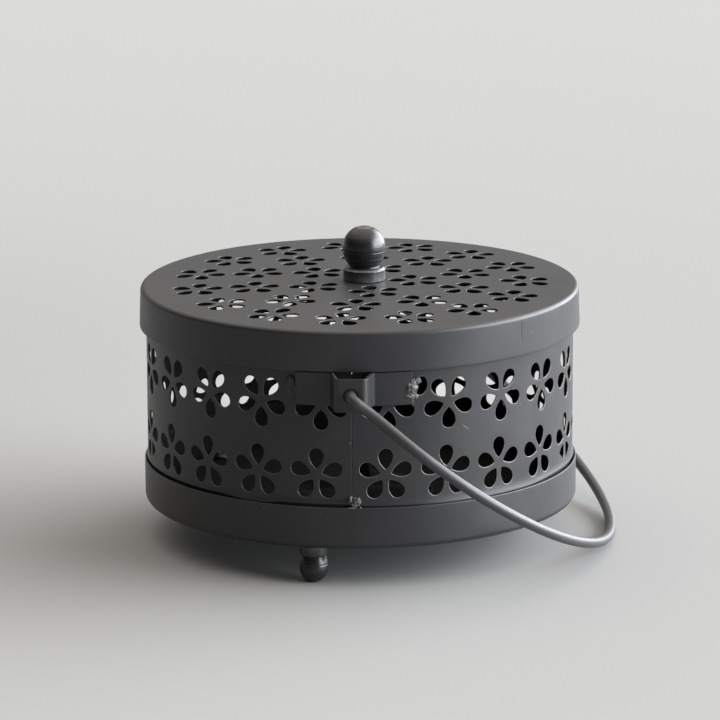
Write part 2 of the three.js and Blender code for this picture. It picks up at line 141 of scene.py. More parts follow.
class CoilBoxLooks(bpy.types.PropertyGroup):
    """Colours and gloss of the finishes"""

    charcoal: tone("Charcoal paint", 0.016, 0.016, 0.0171, "Paint on the sheet pieces")
    turned: tone("Turned paint", 0.010, 0.010, 0.0106, "Paint on the knob and the feet")
    wire: tone("Wire paint", 0.032, 0.032, 0.0335, "Paint on the bail")
    # The rubbed edge colour is also a painted highlight on the rims that catch the light
    rubbed_edge_and_highlight: tone("Rubbed edge", 0.42, 0.42, 0.425, "Where the paint is thin over an edge")
    bead: tone("Weld metal", 0.33, 0.325, 0.315, "Bare specks of a weld bead")
    # The smoke that dulls the zinc stands for soot and painted shade inside the box
    zinc: tone("Zinc", 0.15, 0.151, 0.152, "Plated screws, washer and coil stand, dulled by smoke")
    floor: tone("Floor", 0.252, 0.252, 0.252, "The pale floor")
    paint_gloss: share("Paint roughness", 0.43, "Roughness of the sheet pieces' paint")
    turned_gloss: share("Turned roughness", 0.28, "Roughness of the knob's and feet's paint")
    wire_gloss: share("Wire roughness", 0.42, "Roughness of the bail's paint")


# Outlines in the flat


def facing(points):
    """The unit normals on the left of a closed outline, one for each of its points"""
    along = np.roll(points, -1, 0) - np.roll(points, 1, 0)
    along /= np.linalg.norm(along, axis=1, keepdims=True)
    return np.stack([-along[:, 1], along[:, 0]], 1)


def circle(radius, angles):
    """Points of a circle at its angles, from +X towards +Y"""
    return radius * np.stack([np.cos(angles), np.sin(angles)], 1)


def round_angles(count):
    """Even angles all round, from 0"""
    return np.linspace(0, TURN, count, endpoint=False)


def hole(radius, count, middle=(0, 0)):
    """A round hole's outline, which runs clockwise"""
    return circle(radius, -round_angles(count)) + middle


def rectangle(left, low, right, high):
    """A rectangle's corners, counter-clockwise"""
    return [(left, low), (right, low), (right, high), (left, high)]


def spun(points, angle):
    """Flat points turned about the middle, from +X towards +Y"""
    c, s = math.cos(angle), math.sin(angle)
    return points @ np.array([[c, s], [-s, c]])


def spaced(points, step, closed=True):
    """The outline with points added, so that none lie more than a step apart. Further columns go along"""
    points = np.asarray(points, float)
    ends = np.roll(points, -1, 0) if closed else points[1:]
    found = []
    for start, end in zip(points, ends):
        count = max(1, math.ceil(np.linalg.norm((end - start)[:2]) / step))
        found += [start + (end - start) * i / count for i in range(count)]
    if not closed:
        found.append(points[-1])
    return np.array(found)


def eased(points, radii, closed=False, steps=6):
    """The outline with an arc at each corner. Radii is one radius, or one for each point"""
    points = np.asarray(points, float)
    radii = np.broadcast_to(radii, len(points))
    found = []
    for i, (corner, radius) in enumerate(zip(points, radii)):
        if radius <= 0 or (not closed and i in (0, len(points) - 1)):
            found.append(corner)
            continue
        back, on = points[i - 1] - corner, points[(i + 1) % len(points)] - corner
        reach = 0.49 * min(np.linalg.norm(back), np.linalg.norm(on))
        back, on = back / np.linalg.norm(back), on / np.linalg.norm(on)
        half = math.acos(np.clip(back @ on, -1, 1)) / 2
        if half > 0.49 * math.pi:
            found.append(corner)
            continue
        cut = min(radius / math.tan(half), reach)
        radius = cut * math.tan(half)
        middle = corner + (back + on) / np.linalg.norm(back + on) * radius / math.sin(half)
        spokes = corner + back * cut - middle, corner + on * cut - middle
        turn = math.atan2(spokes[0][0] * spokes[1][1] - spokes[0][1] * spokes[1][0], spokes[0] @ spokes[1])
        found += [middle + spun(spokes[0], turn * k / steps) for k in range(steps + 1)]
    return np.array(found)


PETALS = 5
PETAL_POINTS = 30
PETAL_POINTED = 0.7  # 0 is an ellipse, and 1 a drop with a straight-sided point


def petal(span, width):
    """A petal's outline, clockwise from its point: widest beyond its middle, and round at its end"""
    t = np.linspace(0, TURN, PETAL_POINTS, endpoint=False)
    along = span * (1 - np.cos(t)) / 2
    across = np.sin(t) * np.abs(np.sin(t / 2)) ** PETAL_POINTED
    return np.stack([along, width / 2 * across / across.max()], 1)


def flower(middle, tip, span, width, first):
    """The outlines of a flower's petals, each with the sheet on its left"""
    outline = petal(span, width) + (tip, 0)
    return [spun(outline, first + TURN * i / PETALS) + middle for i in range(PETALS)]


def inside(outline, points):
    """Which points lie inside a closed outline"""
    found = np.zeros(len(points), bool)
    for (x0, y0), (x1, y1) in zip(outline, np.roll(outline, -1, 0)):
        crosses = (y0 > points[:, 1]) != (y1 > points[:, 1])
        if crosses.any():
            at = x0 + (x1 - x0) * (points[:, 1] - y0) / ((y1 - y0) or 1)
            found ^= crosses & (points[:, 0] < at)
    return found


# Meshes


def on_cylinder(radius, around, height):
    """Points on a cylinder, their angles counted from the front (-Y) towards +X"""
    radius, around, height = np.broadcast_arrays(radius, around, height)
    return np.stack([radius * np.sin(around), -radius * np.cos(around), height], -1)


class Shell:
    """The points and faces of a mesh, gathered loop by loop, and how far each point's paint is worn or lit by
    a painted highlight, above 0, or darkened by soot and painted shade, below 0
    """

    def __init__(self):
        self.points, self.worn, self.faces, self.count = [], [], [], 0

    def add(self, points, worn=0.0):
        """Takes in a loop of points, and gives their numbers"""
        points = np.asarray(points, float).reshape(-1, 3)
        numbers = np.arange(self.count, self.count + len(points))
        self.points.append(points)
        self.worn.append(np.broadcast_to(np.asarray(worn, float), len(points)))
        self.count += len(points)
        return numbers

    def bridge(self, before, after):
        """A strip of faces between two loops. A loop of one point makes a fan"""
        count = max(len(before), len(after))
        for i in range(count):
            j = (i + 1) % count
            corners = [loop[k % len(loop)] for loop, k in ((before, i), (before, j), (after, j), (after, i))]
            kept = [int(c) for k, c in enumerate(corners) if c != corners[k - 1]]
            if len(kept) > 2:
                self.faces.append(kept)

    def join(self, loops, round_again=False):
        """Bridges each loop to the next, and the last to the first if it goes round again"""
        for before, after in zip(loops, loops[1:] + loops[:1] if round_again else loops[1:]):
            self.bridge(before, after)

    def moved(self, matrix):
        """Carries all points by a 4 x 4 matrix"""
        matrix = np.array(matrix)
        self.points = [p @ matrix[:3, :3].T + matrix[:3, 3] for p in self.points]
        return self


def settle_normals(mesh):
    """Weighs each point's normal by the area of its faces, so that flats stay flat beside fine roundings"""
    count = len(mesh.polygons)
    normals, areas = np.zeros(count * 3), np.zeros(count)
    totals, corners = np.zeros(count, int), np.zeros(len(mesh.loops), int)
    mesh.polygons.foreach_get("normal", normals)
    mesh.polygons.foreach_get("area", areas)
    mesh.polygons.foreach_get("loop_total", totals)
    mesh.loops.foreach_get("vertex_index", corners)
    weighted = np.repeat(normals.reshape(-1, 3) * areas[:, None], totals, axis=0)
    sums = np.zeros((len(mesh.vertices), 3))
    np.add.at(sums, corners, weighted)
    sums /= np.maximum(np.linalg.norm(sums, axis=1, keepdims=True), 1e-20)
    mesh.polygons.foreach_set("use_smooth", np.ones(count, bool))
    mesh.normals_split_custom_set_from_vertices(sums.tolist())


def turned(profile, count, closed=False, worn=0.0):
    """A profile of (radius, height) points turned round Z"""
    shell, loops = Shell(), []
    angles = round_angles(count)
    for (radius, height), rub_soot_and_painted_light in zip(profile, np.broadcast_to(worn, len(profile))):
        loops.append(shell.add(on_cylinder(radius, angles if radius > 1e-9 else angles[:1], height), rub_soot_and_painted_light))
    shell.join(loops, round_again=closed)
    return shell


def level(points, height):
    """Flat points at a height"""
    return np.column_stack([points, np.full(len(points), height)])


def ring(shell, radius, angles, height, rub_soot_and_painted_light):
    """Adds a level loop to a shell. Radius is one radius, or one for each angle"""
    return shell.add(level(circle(1, angles) * np.reshape(radius, (-1, 1)), height), rub_soot_and_painted_light)


def edge_section(thickness, roll, burr, rub_soot_and_painted_light=1.0, soot_and_shade=0.0):
    """A punched edge's section as (inset from the outline, depth, wear), from the outer face inwards. Wear
    above 0 is thin paint with a painted highlight on the rolled rim, and below 0 it is soot with painted
    shade on the cut wall"""
    rolled = [
        (roll * (1 - math.sin(a)), roll * (1 - math.cos(a)), rub_soot_and_painted_light * math.sin(2 * a) ** 0.5 if a else 0.0)
        for a in np.linspace(0, math.pi / 2 - 1e-6, 4)
    ]
    half = min(2 * roll, thickness / 2)
    return rolled + [(0.0, half, -0.7 * soot_and_shade), (0.0, thickness - burr, -soot_and_shade), (burr, thickness, -soot_and_shade)]


def filling(loops, intos, spacing, rows):
    """Points of a triangular grid on the sheet, clear of its loops, and closer ones along extra rows"""
    tree = KDTree(sum(map(len, loops)))
    normals = np.concatenate(intos)
    for i, (x, y) in enumerate(np.concatenate(loops)):
        tree.insert((x, y, 0), i)
    tree.balance()
    low, high = loops[0].min(0), loops[0].max(0)
    rise = spacing * math.sqrt(3) / 2
    found = []

    def put(x, y, clear):
        near, i, distance = tree.find((x, y, 0))
        if distance > clear and (x - near.x) * normals[i][0] + (y - near.y) * normals[i][1] > 0:
            found.append((x, y))

    for row in range(1, int((high[1] - low[1]) / rise) + 1):
        y = low[1] + row * rise
        if all(abs(y - other) > 0.4 * MM for other in rows):
            for x in np.arange(low[0] + spacing * (1 + row % 2) / 2, high[0], spacing):
                put(x, y, 0.55 * spacing)
    for row, y in enumerate(rows):
        for x in np.arange(low[0] + spacing * (1 + row % 2) / 4, high[0], spacing / 2):
            put(x, y, 0.3 * MM)
    return np.array(found).reshape(-1, 2)


def pierced(shell, loops, sections, place, spacing, open_outline=False, rows=()):
    """A punched sheet. Its first loop is its outline and the others are holes, with the sheet on their left.
    A section goes with each loop, and place(points, depth) carries flat points to where they belong.
    Rows are flat heights that get points of their own, where the sheet bends.
    Gives the outline's points on the outer and the inner face, which stay open if open_outline is set"""
    intos = [facing(loop) for loop in loops]
    grid = filling(loops, intos, spacing, rows)
    owner = np.concatenate([np.full(len(loop), i) for i, loop in enumerate(loops)] + [np.full(len(grid), -1)])
    starts = np.cumsum([0] + [len(loop) for loop in loops])

    def face_points(which):
        rims = [loop + into * section[which][0] for loop, into, section in zip(loops, intos, sections)]
        return np.concatenate(rims + [grid])

    outer, inner = face_points(0), face_points(-1)
    wear = sections[0][0][2], sections[0][-1][2]
    edges = [(s + i, s + (i + 1) % len(loop)) for s, loop in zip(starts, loops) for i in range(len(loop))]
    found = delaunay_2d_cdt([Vector(p / MM) for p in outer], edges, [], 0, 1e-5)
    if len(found[3]) != len(outer) or not all(found[3]):
        raise RuntimeError("a punched sheet's outlines cross each other")
    came_from = np.array([origins[0] for origins in found[3]])
    triangles = came_from[np.array(found[2])]
    own = owner[triangles]
    keep = np.ones(len(triangles), bool)
    doubtful = np.flatnonzero((own[:, 0] >= 0) & (own[:, 0] == own[:, 1]) & (own[:, 0] == own[:, 2]))
    middles = outer[triangles].mean(1)
    for hole in np.unique(own[doubtful, 0]):
        mine = doubtful[own[doubtful, 0] == hole]
        within = inside(outer[starts[hole] : starts[hole + 1]], middles[mine])
        keep[mine] = ~within if hole else within
    triangles = triangles[keep]
    on_top = shell.add(place(outer, sections[0][0][1]), wear[0])
    below = shell.add(place(inner, sections[0][-1][1]), wear[1])
    shell.faces += on_top[triangles].tolist() + below[triangles[:, ::-1]].tolist()
    for i, (loop, into, section) in enumerate(zip(loops, intos, sections)):
        ends = on_top[starts[i] : starts[i + 1]], below[starts[i] : starts[i + 1]]
        if i or not open_outline:
            rings = [shell.add(place(loop + into * inset, depth), rub_soot_and_painted_light) for inset, depth, rub_soot_and_painted_light in section[1:-1]]
            shell.join([ends[0], *rings, ends[1]])
    return on_top[: starts[1]], below[: starts[1]]


# Shader maths


class Value:
    """A socket that Python's operators carry on into Math nodes"""

    def __init__(self, finish, socket):
        self.finish, self.socket = finish, socket

    def math(self, operation, *others):
        return self.finish.add("ShaderNodeMath", dict(enumerate([self, *others])), operation=operation)

    def __add__(self, other):
        return self.math("ADD", other)

    def __sub__(self, other):
        return self.math("SUBTRACT", other)

    def __rsub__(self, other):
        return self.finish.add("ShaderNodeMath", {0: other, 1: self}, operation="SUBTRACT")

    def __mul__(self, other):
        return self.math("MULTIPLY", other)

    __radd__ = __add__
    __rmul__ = __mul__

    def over(self, low, high):
        """0 below low and 1 above high, with a soft step between"""
        settings = {"interpolation_type": "SMOOTHSTEP"}
        return self.finish.add("ShaderNodeMapRange", {0: self, 1: low, 2: high}, **settings)


class Finish:
    """One node tree, and the ways to add to it"""

    def __init__(self, block):
        block.use_nodes = True
        self.block, self.tree = block, block.node_tree
        self.tree.nodes.clear()

    def add(self, kind, inputs=None, output=0, **settings):
        """Adds a node of a kind with its settings, then gives its inputs numbers, colours or links"""
        node = self.tree.nodes.new(kind)
        for key, value in settings.items():
            setattr(node, key, value)
        for key, value in (inputs or {}).items():
            if isinstance(value, Value):
                self.tree.links.new(value.socket, node.inputs[key])
            else:
                node.inputs[key].default_value = value
        return Value(self, node.outputs[output]) if node.outputs else None

    def vector(self, operation, *inputs):
        """A Vector Math node, whose output is a number where its operation gives one"""
        output = "Value" if operation in ("DOT_PRODUCT", "LENGTH") else "Vector"
        return self.add("ShaderNodeVectorMath", dict(enumerate(inputs)), output, operation=operation)

    def place(self, stretch=(1, 1, 1)):
        """Where on the object a point is, in metres, with each axis stretched"""
        return self.vector("MULTIPLY", self.add("ShaderNodeTexCoord", output="Object"), stretch)

    def distance(self, at, middle, stretch=(1, 1, 1)):
        """How far a place is from a middle, with each axis stretched"""
        return self.vector("LENGTH", self.vector("MULTIPLY", self.vector("SUBTRACT", at, middle), stretch))

    def wear(self):
        """How thin the paint is, with a painted highlight on edges, above 0, or how thick the soot and
        painted shade, below 0
        """
        return self.add("ShaderNodeAttribute", output="Fac", attribute_name="worn")

    def cloud(self, place, grain, detail, rough=0.5):
        """Noise whose lumps are about a grain across"""
        inputs = {"Vector": place, "Scale": 1 / grain, "Detail": detail, "Roughness": rough}
        return self.add("ShaderNodeTexNoise", inputs)

    def cells(self, place, grain, output="Distance"):
        """A scatter of cells about a grain across: how far off the nearest cell's middle is, or its colour"""
        return self.add("ShaderNodeTexVoronoi", {"Vector": place, "Scale": 1 / grain}, output=output)

    def blend(self, under, over, amount):
        """One colour laid over another"""
        under, over = (c if isinstance(c, Value) else (*c, 1.0) for c in (under, over))
        return self.add("ShaderNodeMix", {0: amount, 6: under, 7: over}, output=2, data_type="RGBA")

    def bump(self, height, depth, strength):
        """The normal of a surface that rises by a depth where the height is 1"""
        return self.add("ShaderNodeBump", {"Strength": strength, "Distance": depth, "Height": height})

    def surface(self, soot_and_shade=None, **inputs):
        """Ends the tree with a shader, and with soot and painted shade over it where that is given"""
        named = {key.replace("_", " "): value for key, value in inputs.items()}
        shader = self.add("ShaderNodeBsdfPrincipled", named)
        if soot_and_shade is not None:
            black = self.add("ShaderNodeBsdfDiffuse", {"Color": (*SOOT_AND_SHADE_BLACK, 1), "Roughness": 1.0})
            shader = self.add("ShaderNodeMixShader", {0: soot_and_shade, 1: shader, 2: black})
        self.add("ShaderNodeOutputMaterial", {"Surface": shader})
        return self.block


# The black of soot and painted shade on cut walls and inner faces
SOOT_AND_SHADE_BLACK = (0.012, 0.0115, 0.011)
DUST = (0.42, 0.42, 0.41)
GOUGED = (0.09, 0.09, 0.09)
SLAG = (0.62, 0.60, 0.56)
STAIN = (0.10, 0.085, 0.07)


def finish(name):
    return Finish(bpy.data.materials.new(name))


def shaded(colour, factor):
    """A colour made lighter or darker by a factor"""
    return [min(1.0, factor * c) for c in colour]


def painted(name, colour, gloss, streaks=None):
    """Satin paint: clouds, orange peel, fine grit, dust, hair scratches, rubbed edges with a painted
    highlight, and soot with painted shade inside
    """
    f = finish(name)
    at = f.place()
    clouds = f.cloud(at, 17 * MM, 3)
    mottle = f.cloud(at, 2.6 * MM, 3)
    peel = f.cloud(at, 0.9 * MM, 2)
    grit = f.cloud(at, 0.3 * MM, 1)
    worn = f.wear()
    thin_paint_and_highlight = worn.math("MAXIMUM", 0) * (f.cloud(at, 2.1 * MM, 2).over(0.3, 0.7) * 0.5 + 0.5)
    soot_and_shade = (worn * -1).math("MAXIMUM", 0)
    speck = f.cells(at, 5.3 * MM)
    dust = (1 - speck.over(0.025, 0.05)) * f.cloud(at, 9 * MM, 0).over(0.52, 0.64)
    hair = f.cloud(f.place((34, 3, 61)), 34 * MM, 0)
    scratch = (1 - (hair - 0.5).math("ABSOLUTE").over(0.0015, 0.005)) * clouds.over(0.57, 0.68)
    gouge = wall_scratch(f, at)
    base = f.blend(colour, shaded(colour, 1.5), clouds.over(0.3, 0.75) * 0.4 + mottle * 0.4)
    # painted shade: cut walls and inner faces are darkened, together with soot
    base = f.blend(base, shaded(colour, 0.35), soot_and_shade * 0.9)
    # painted highlight: the thin paint on rolled rims is lightened as if light caught it, along with the
    # rubbed paint
    base = f.blend(base, bpy.context.scene.coil_box_looks.rubbed_edge_and_highlight, thin_paint_and_highlight * 0.8)
    base = f.blend(base, DUST, dust * 0.6)
    base = f.blend(base, shaded(colour, 3), scratch * 0.5)
    base = f.blend(base, GOUGED, gouge)
    rough = gloss + (clouds - 0.5) * 0.14 + (mottle - 0.5) * 0.12 + (grit - 0.5) * 0.1
    rough = rough + soot_and_shade * 0.3 - thin_paint_and_highlight * 0.12 + dust * 0.2
    height = peel * 0.8 + grit * 0.35 - scratch * 0.3 - gouge * 2
    if streaks is not None:
        rings = f.cloud(f.place((1, 1, streaks)), 9 * MM, 3, 0.7)
        height = height + rings * 1.6
        rough = rough + (rings - 0.5) * 0.16
    normal = f.bump(height, 0.022 * MM, 0.9)
    metal = thin_paint_and_highlight * 0.45
    return f.surface(soot_and_shade * 0.75, Base_Color=base, Roughness=rough, Metallic=metal, Normal=normal, IOR=1.43)


SCRATCH_ENDS = ((29.7, 38.8), (31.8, 37.1))  # degrees from the front, and millimetres up


def wall_scratch(f, at):
    """1 along the short scratch on the wall's right front, and 0 elsewhere"""
    start, end = (Vector(on_cylinder(WALL_RADIUS * MM, math.radians(a), up * MM)) for a, up in SCRATCH_ENDS)
    half = (end - start) / 2
    off = f.vector("SUBTRACT", at, (start + end) / 2)
    along = f.vector("DOT_PRODUCT", off, half / half.length_squared)
    aside = f.vector("LENGTH", f.vector("CROSS_PRODUCT", off, half.normalized()))
    return (1 - along.math("ABSOLUTE").over(0.7, 1)) * (1 - aside.over(0.06 * MM, 0.2 * MM))


def bead_metal(name, paint, bare):
    """A rough weld bead: its lumps and spatter are bare where it is worn, and painted over elsewhere"""
    f = finish(name)
    at = f.place()
    lumps = f.cloud(at, 1.5 * MM, 4, 0.6)
    flecks = f.cloud(at, 0.5 * MM, 3).over(0.48, 0.62)
    worn = f.wear()
    show = worn * (lumps.over(0.36, 0.58) * 0.75 + flecks * 0.25)
    base = f.blend(paint, bare, show)
    base = f.blend(base, SLAG, flecks * lumps.over(0.5, 0.68) * worn * 0.6)
    normal = f.bump(lumps + flecks * 0.25, 0.2 * MM, 0.8)
    return f.surface(Base_Color=base, Roughness=0.5 - show * 0.15, Metallic=show * 0.4, Normal=normal)


def plated(name, colour):
    """Zinc plate: dull metal with a fine spangle and a few stains, darkened by smoke and painted shade inside
    the box
    """
    f = finish(name)
    at = f.place()
    spangle = f.cells(at, 1.7 * MM, "Color")
    dull = f.cloud(at, 7 * MM, 4, 0.6)
    shade = f.add("ShaderNodeSeparateColor", {"Color": spangle})
    base = f.blend(shaded(colour, 0.78), colour, dull.over(0.35, 0.65))
    base = f.blend(base, STAIN, dull.over(0.5, 0.75) * 0.7)
    rough = 0.38 + shade * 0.08 + dull * 0.2
    normal = f.bump(f.cloud(at, 0.3 * MM, 2), 0.01 * MM, 0.8)
    # painted shade: the zinc inside the box is darkened, together with smoke
    smoke_and_shade = (f.wear() * -1).math("MAXIMUM", 0) * (f.cloud(at, 12 * MM, 3).over(0.3, 0.6) * 0.2 + 0.76)
    return f.surface(smoke_and_shade, Base_Color=base, Roughness=rough, Metallic=1.0, Normal=normal)


made_finishes = {}


def finishes():
    """The record's material slots and the Blender materials that stand for them, made once"""
    looks = bpy.context.scene.coil_box_looks
    if not made_finishes:
        made_finishes.update(
            charcoal_paint=painted("satin_sheet_paint", looks.charcoal, looks.paint_gloss),
            turned_paint=painted("satin_turned_paint", looks.turned, looks.turned_gloss, streaks=14),
            wire_paint=painted("satin_wire_paint", looks.wire, looks.wire_gloss),
            weld_metal=bead_metal("crusted_bead", looks.charcoal, looks.bead),
            zinc_steel=plated("zinc_plate", looks.zinc),
        )
    return made_finishes


def add_piece(shell, name, slot, body, node):
    """Makes the shell a mesh that rides on a body and stands for a CAD node"""
    mesh = bpy.data.meshes.new(name)
    mesh.from_pydata(np.concatenate(shell.points).tolist(), [], shell.faces)
    work = bmesh.new()
    work.from_mesh(mesh)
    bmesh.ops.recalc_face_normals(work, faces=work.faces)
    work.to_mesh(mesh)
    work.free()
    worn = mesh.attributes.new("worn", "FLOAT", "POINT")
    worn.data.foreach_set("value", np.concatenate(shell.worn).astype(np.float32))
    settle_normals(mesh)
    mesh.materials.append(finishes()[slot])
    made = bpy.data.objects.new(name, mesh)
    bpy.context.scene.collection.objects.link(made)
    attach(made, body)
    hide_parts(node)


# The pieces


def punched(sizes, rub_soot_and_painted_light=1.0, portion=1.0):
    """The section of an edge punched through the sheet, with soot and painted shade inside and a painted
    highlight on its rim, with a portion of the usual roll
    """
    return edge_section(sizes.sheet, sizes.edge_roll * portion, sizes.burr, rub_soot_and_painted_light, soot_and_shade=1.0)


def ring_angles(count, extra):
    """Angles round the object, closer together near an extra one"""
    near = np.linspace(-0.012, 0.012, 13)
    return np.unique(np.concatenate([round_angles(count), extra % TURN + near]) % TURN)


def foot_places(sizes):
    """The middles of the pan's screw holes"""
    return [on_cylinder(sizes.foot_radius, sizes.foot_turn + TURN * i / 3, 0.0) for i in range(3)]


# How far the flowers of the wall's rows stray: degrees from the front, then millimetres to the right and down
LOW_STRAY = (
    (-180, 0, 0.3), (-66, -0.6, 0.5), (-45, -0.45, 0.35), (-28, -0.2, 0.15), (-2, -0.2, 0),
    (2, 0.5, 0), (40, 0.45, 0.15), (56, 0.6, 0.15), (74, 0.8, 0.5), (180, 0, 0.3),
)
HIGH_STRAY = (
    (-180, 0, 0.8), (-66, -0.7, 0.65), (-45, -0.35, 0.35), (-28, -0.18, 0.3), (-10, 0, 0), (10, 0, 0.3),
    (24, 0, 0.5), (40, -0.1, 0.7), (56, 0.25, 1.15), (74, 0.5, 1.45), (180, 0, 0.8),
)
LOW_SLIP, HIGH_SLIP = -0.6 * MM, 0.8 * MM  # how far each row as a whole is turned
UNEVEN = 0.05 * MM  # how far hand work bends the wall and the lid's face
# How far apart the points of each sheet are
WALL_GRID, PAN_GRID, LID_GRID, BRACKET_GRID = 2.2 * MM, 5 * MM, 2.4 * MM, 0.7 * MM
PAINTED_HIGHLIGHT_SIDE = (-2, 85)  # the lit side, whose punched edges get a brighter painted highlight, in degrees from the front
SLOT_HALVES, SLOT_LEAN, SLOT_RISE = (2.2 * MM, 3.1 * MM), -0.25, 0.2 * MM  # the oval slots by the brackets

# The wall's foot, in millimetres: how far it flares, and from which height down, then the same for its tuck
FLARE, FLARE_TOP, TUCK, TUCK_TOP = 0.4, 17.3, 0.3, 14
# Heights at which the foot gets points of its own
FOOT_ROWS = (13.2, 13.6, *np.arange(13.9, 15.3, 0.2), 15.6, 16, 16.4, 16.9, 17.4)
# Where round the wall it is tucked in deep, in degrees from the front, 1 for the deepest
TUCKED = (
    (-180, 0.6), (-36, 1), (-30, 0.1), (-24, 0.1), (-19, 1), (-2, 1),
    (4, 0.5), (16, 0.3), (24, 0), (52, 0), (66, 0.7), (180, 0.6),
)


def from_front(degrees):
    """The angle as one between -180 and 180 degrees"""
    return (degrees + 180) % 360 - 180


def strayed(table, degrees):
    """How far a flower strays from its even row, along the strip and up it"""
    at, along, down = zip(*table)
    degrees = from_front(degrees)
    return np.array([np.interp(degrees, at, along), -np.interp(degrees, at, down)]) * MM


def wall_shell(sizes):
    """The rolled wall with its two rows of flowers and the oval slots beside the brackets"""
    radius = sizes.band_radius
    girth = TURN * radius
    gap = sizes.seam_gap / 2
    loops = [spaced(rectangle(gap, 0, girth - gap, sizes.band_height), WALL_GRID)]
    steps = math.floor((girth - sizes.seam_spread) / sizes.flower_pitch)
    step = (girth - sizes.seam_spread) / steps
    shape = sizes.band_petal_tip, sizes.band_petal_length, sizes.petal_width
    rim_rubs_and_highlights = []
    for height, slip, first, strays in (
        (sizes.low_row, LOW_SLIP, math.pi / 2, LOW_STRAY),
        (sizes.high_row, HIGH_SLIP, -math.pi / 2, HIGH_STRAY),
    ):
        for i in range(steps + 1):
            middle = np.array([sizes.seam_spread / 2 + step * i + slip, height - sizes.band_bottom])
            middle += strayed(strays, math.degrees(middle[0] / radius))
            petals = flower(middle, *shape, first)
            sides = [math.degrees(loop[:, 0].mean() / radius) for loop in petals]
            # painted highlight: rims on the lit side are lightened more than the others
            rim_rubs_and_highlights += [0.5 if PAINTED_HIGHLIGHT_SIDE[0] < side < PAINTED_HIGHLIGHT_SIDE[1] else 0.2 for side in sides]
            loops += petals
    pivot = sizes.bracket_top - sizes.bracket_height / 2 - sizes.band_bottom
    oval = spun(hole(1, 32) * SLOT_HALVES, SLOT_LEAN)
    loops += [oval + (side * radius + sizes.slot_span, pivot + SLOT_RISE) for side in (FRONT, REAR)]
    # the seam's edges get a faint painted highlight, and their cut walls soot with painted shade; the holes'
    # rims get painted highlights
    edge = edge_section(sizes.sheet, 0.12 * MM, sizes.burr, 0.15, soot_and_shade=1.0)
    sections = [edge] + [punched(sizes, rub_soot_and_painted_light) for rub_soot_and_painted_light in rim_rubs_and_highlights] + [punched(sizes)] * 2

    def rolled(points, depth):
        """The strip bent round, a little off true, and never outside the true radius but at its foot"""
        around, height = points[:, 0] / radius, points[:, 1] + sizes.band_bottom
        hand_made = UNEVEN * (np.sin(3 * around + 40 * height) + 0.6 * np.sin(7 * around - 1))
        out = wall_foot(around, height / MM) * MM
        return on_cylinder(radius - depth - 0.08 * MM + hand_made + out, around, height)

    shell = Shell()
    rows = [z * MM - sizes.band_bottom for z in FOOT_ROWS]
    pierced(shell, loops, sections, rolled, WALL_GRID, rows=rows)
    return shell


def wall_foot(around, height):
    """How far out the wall's foot stands, in millimetres: flared over the pan's rim, and tucked in at it"""
    tucked = np.interp(from_front(np.degrees(around)), *zip(*TUCKED))
    turn = TUCK_TOP + tucked
    flared = FLARE * np.clip((FLARE_TOP - height) / (FLARE_TOP - turn), 0, 1) ** 2
    return np.where(height > turn, flared, FLARE - (FLARE + TUCK * tucked) * np.clip(turn - height, 0, 1))


def pan_shell(sizes):
    """The drawn pan: a floor with three screw holes, a rounded corner and an upright wall with a raw edge"""
    wide, corner, sheet, top = sizes.pan_radius, sizes.pan_corner, sizes.sheet, sizes.pan_height
    floor_radius = wide - corner
    angles = round_angles(240)
    loops = [circle(floor_radius, angles)] + [hole(1.8 * MM, 24, at[:2]) for at in foot_places(sizes)]
    # the floor's inner face is darkened with soot and painted shade, and the screw holes' rims get a painted
    # highlight
    sections = [[(0, 0, 0), (0, sheet, -1)]] + [edge_section(sheet, 0.1 * MM, sizes.burr)] * 3
    shell = Shell()
    outer, inner = pierced(shell, loops, sections, level, PAN_GRID, open_outline=True)
    rise = np.linspace(0, math.pi / 2, 9)[1:]
    side = np.linspace(corner, top - 0.25 * MM, 7)
    small = corner - sheet
    profile = [(floor_radius + corner * math.sin(a), corner * (1 - math.cos(a)), 0.0) for a in rise]
    profile += [(wide, height, 0.0) for height in side[1:]]
    # the lip gets a faint painted highlight, and the inside is darkened with soot and painted shade
    profile += [
        (wide - 0.05 * MM, top - 0.08 * MM, 0.05),
        (wide - 0.16 * MM, top, 0.05),
        (wide - sheet + 0.12 * MM, top, -0.4),
        (wide - sheet, top - 0.1 * MM, 0.0),
    ]
    profile += [(wide - sheet, height, -0.8) for height in side[::-1]]
    profile += [
        (floor_radius + small * math.sin(a), sheet + small * (1 - math.cos(a)), -1.0) for a in rise[-2::-1]
    ]
    loops = [ring(shell, radius, angles, height, rub_soot_and_painted_light) for radius, height, rub_soot_and_painted_light in profile]
    shell.join([outer, *loops, inner])
    return shell


def lid_crown(sizes, points):
    """How high the lid's sheet stands over its edge"""
    middle = sizes.lid_radius - sizes.lid_edge
    return sizes.lid_crown * (1 - (np.linalg.norm(points, axis=1) / middle) ** 2.6)


SKIRT_SEAM = math.radians(47.8)  # from the front towards +X
LID_TURNS = (18.9, 0.3, 16.65)  # where each ring's first flower stands, in degrees from the back towards +X
LID_STRETCH, LID_SHIFT = (0.989, 1.01), (0.24 * MM, -0.6 * MM)
KNOB_HOLE = 2.1 * MM
GROOVE_DEEP, GROOVE_WIDE, GROOVE_LONG = 0.14 * MM, 0.2 * MM, 0.72  # the skirt's seam, long in skirts
BENT = 0.06 * MM  # how far the skirt's hem is out of round


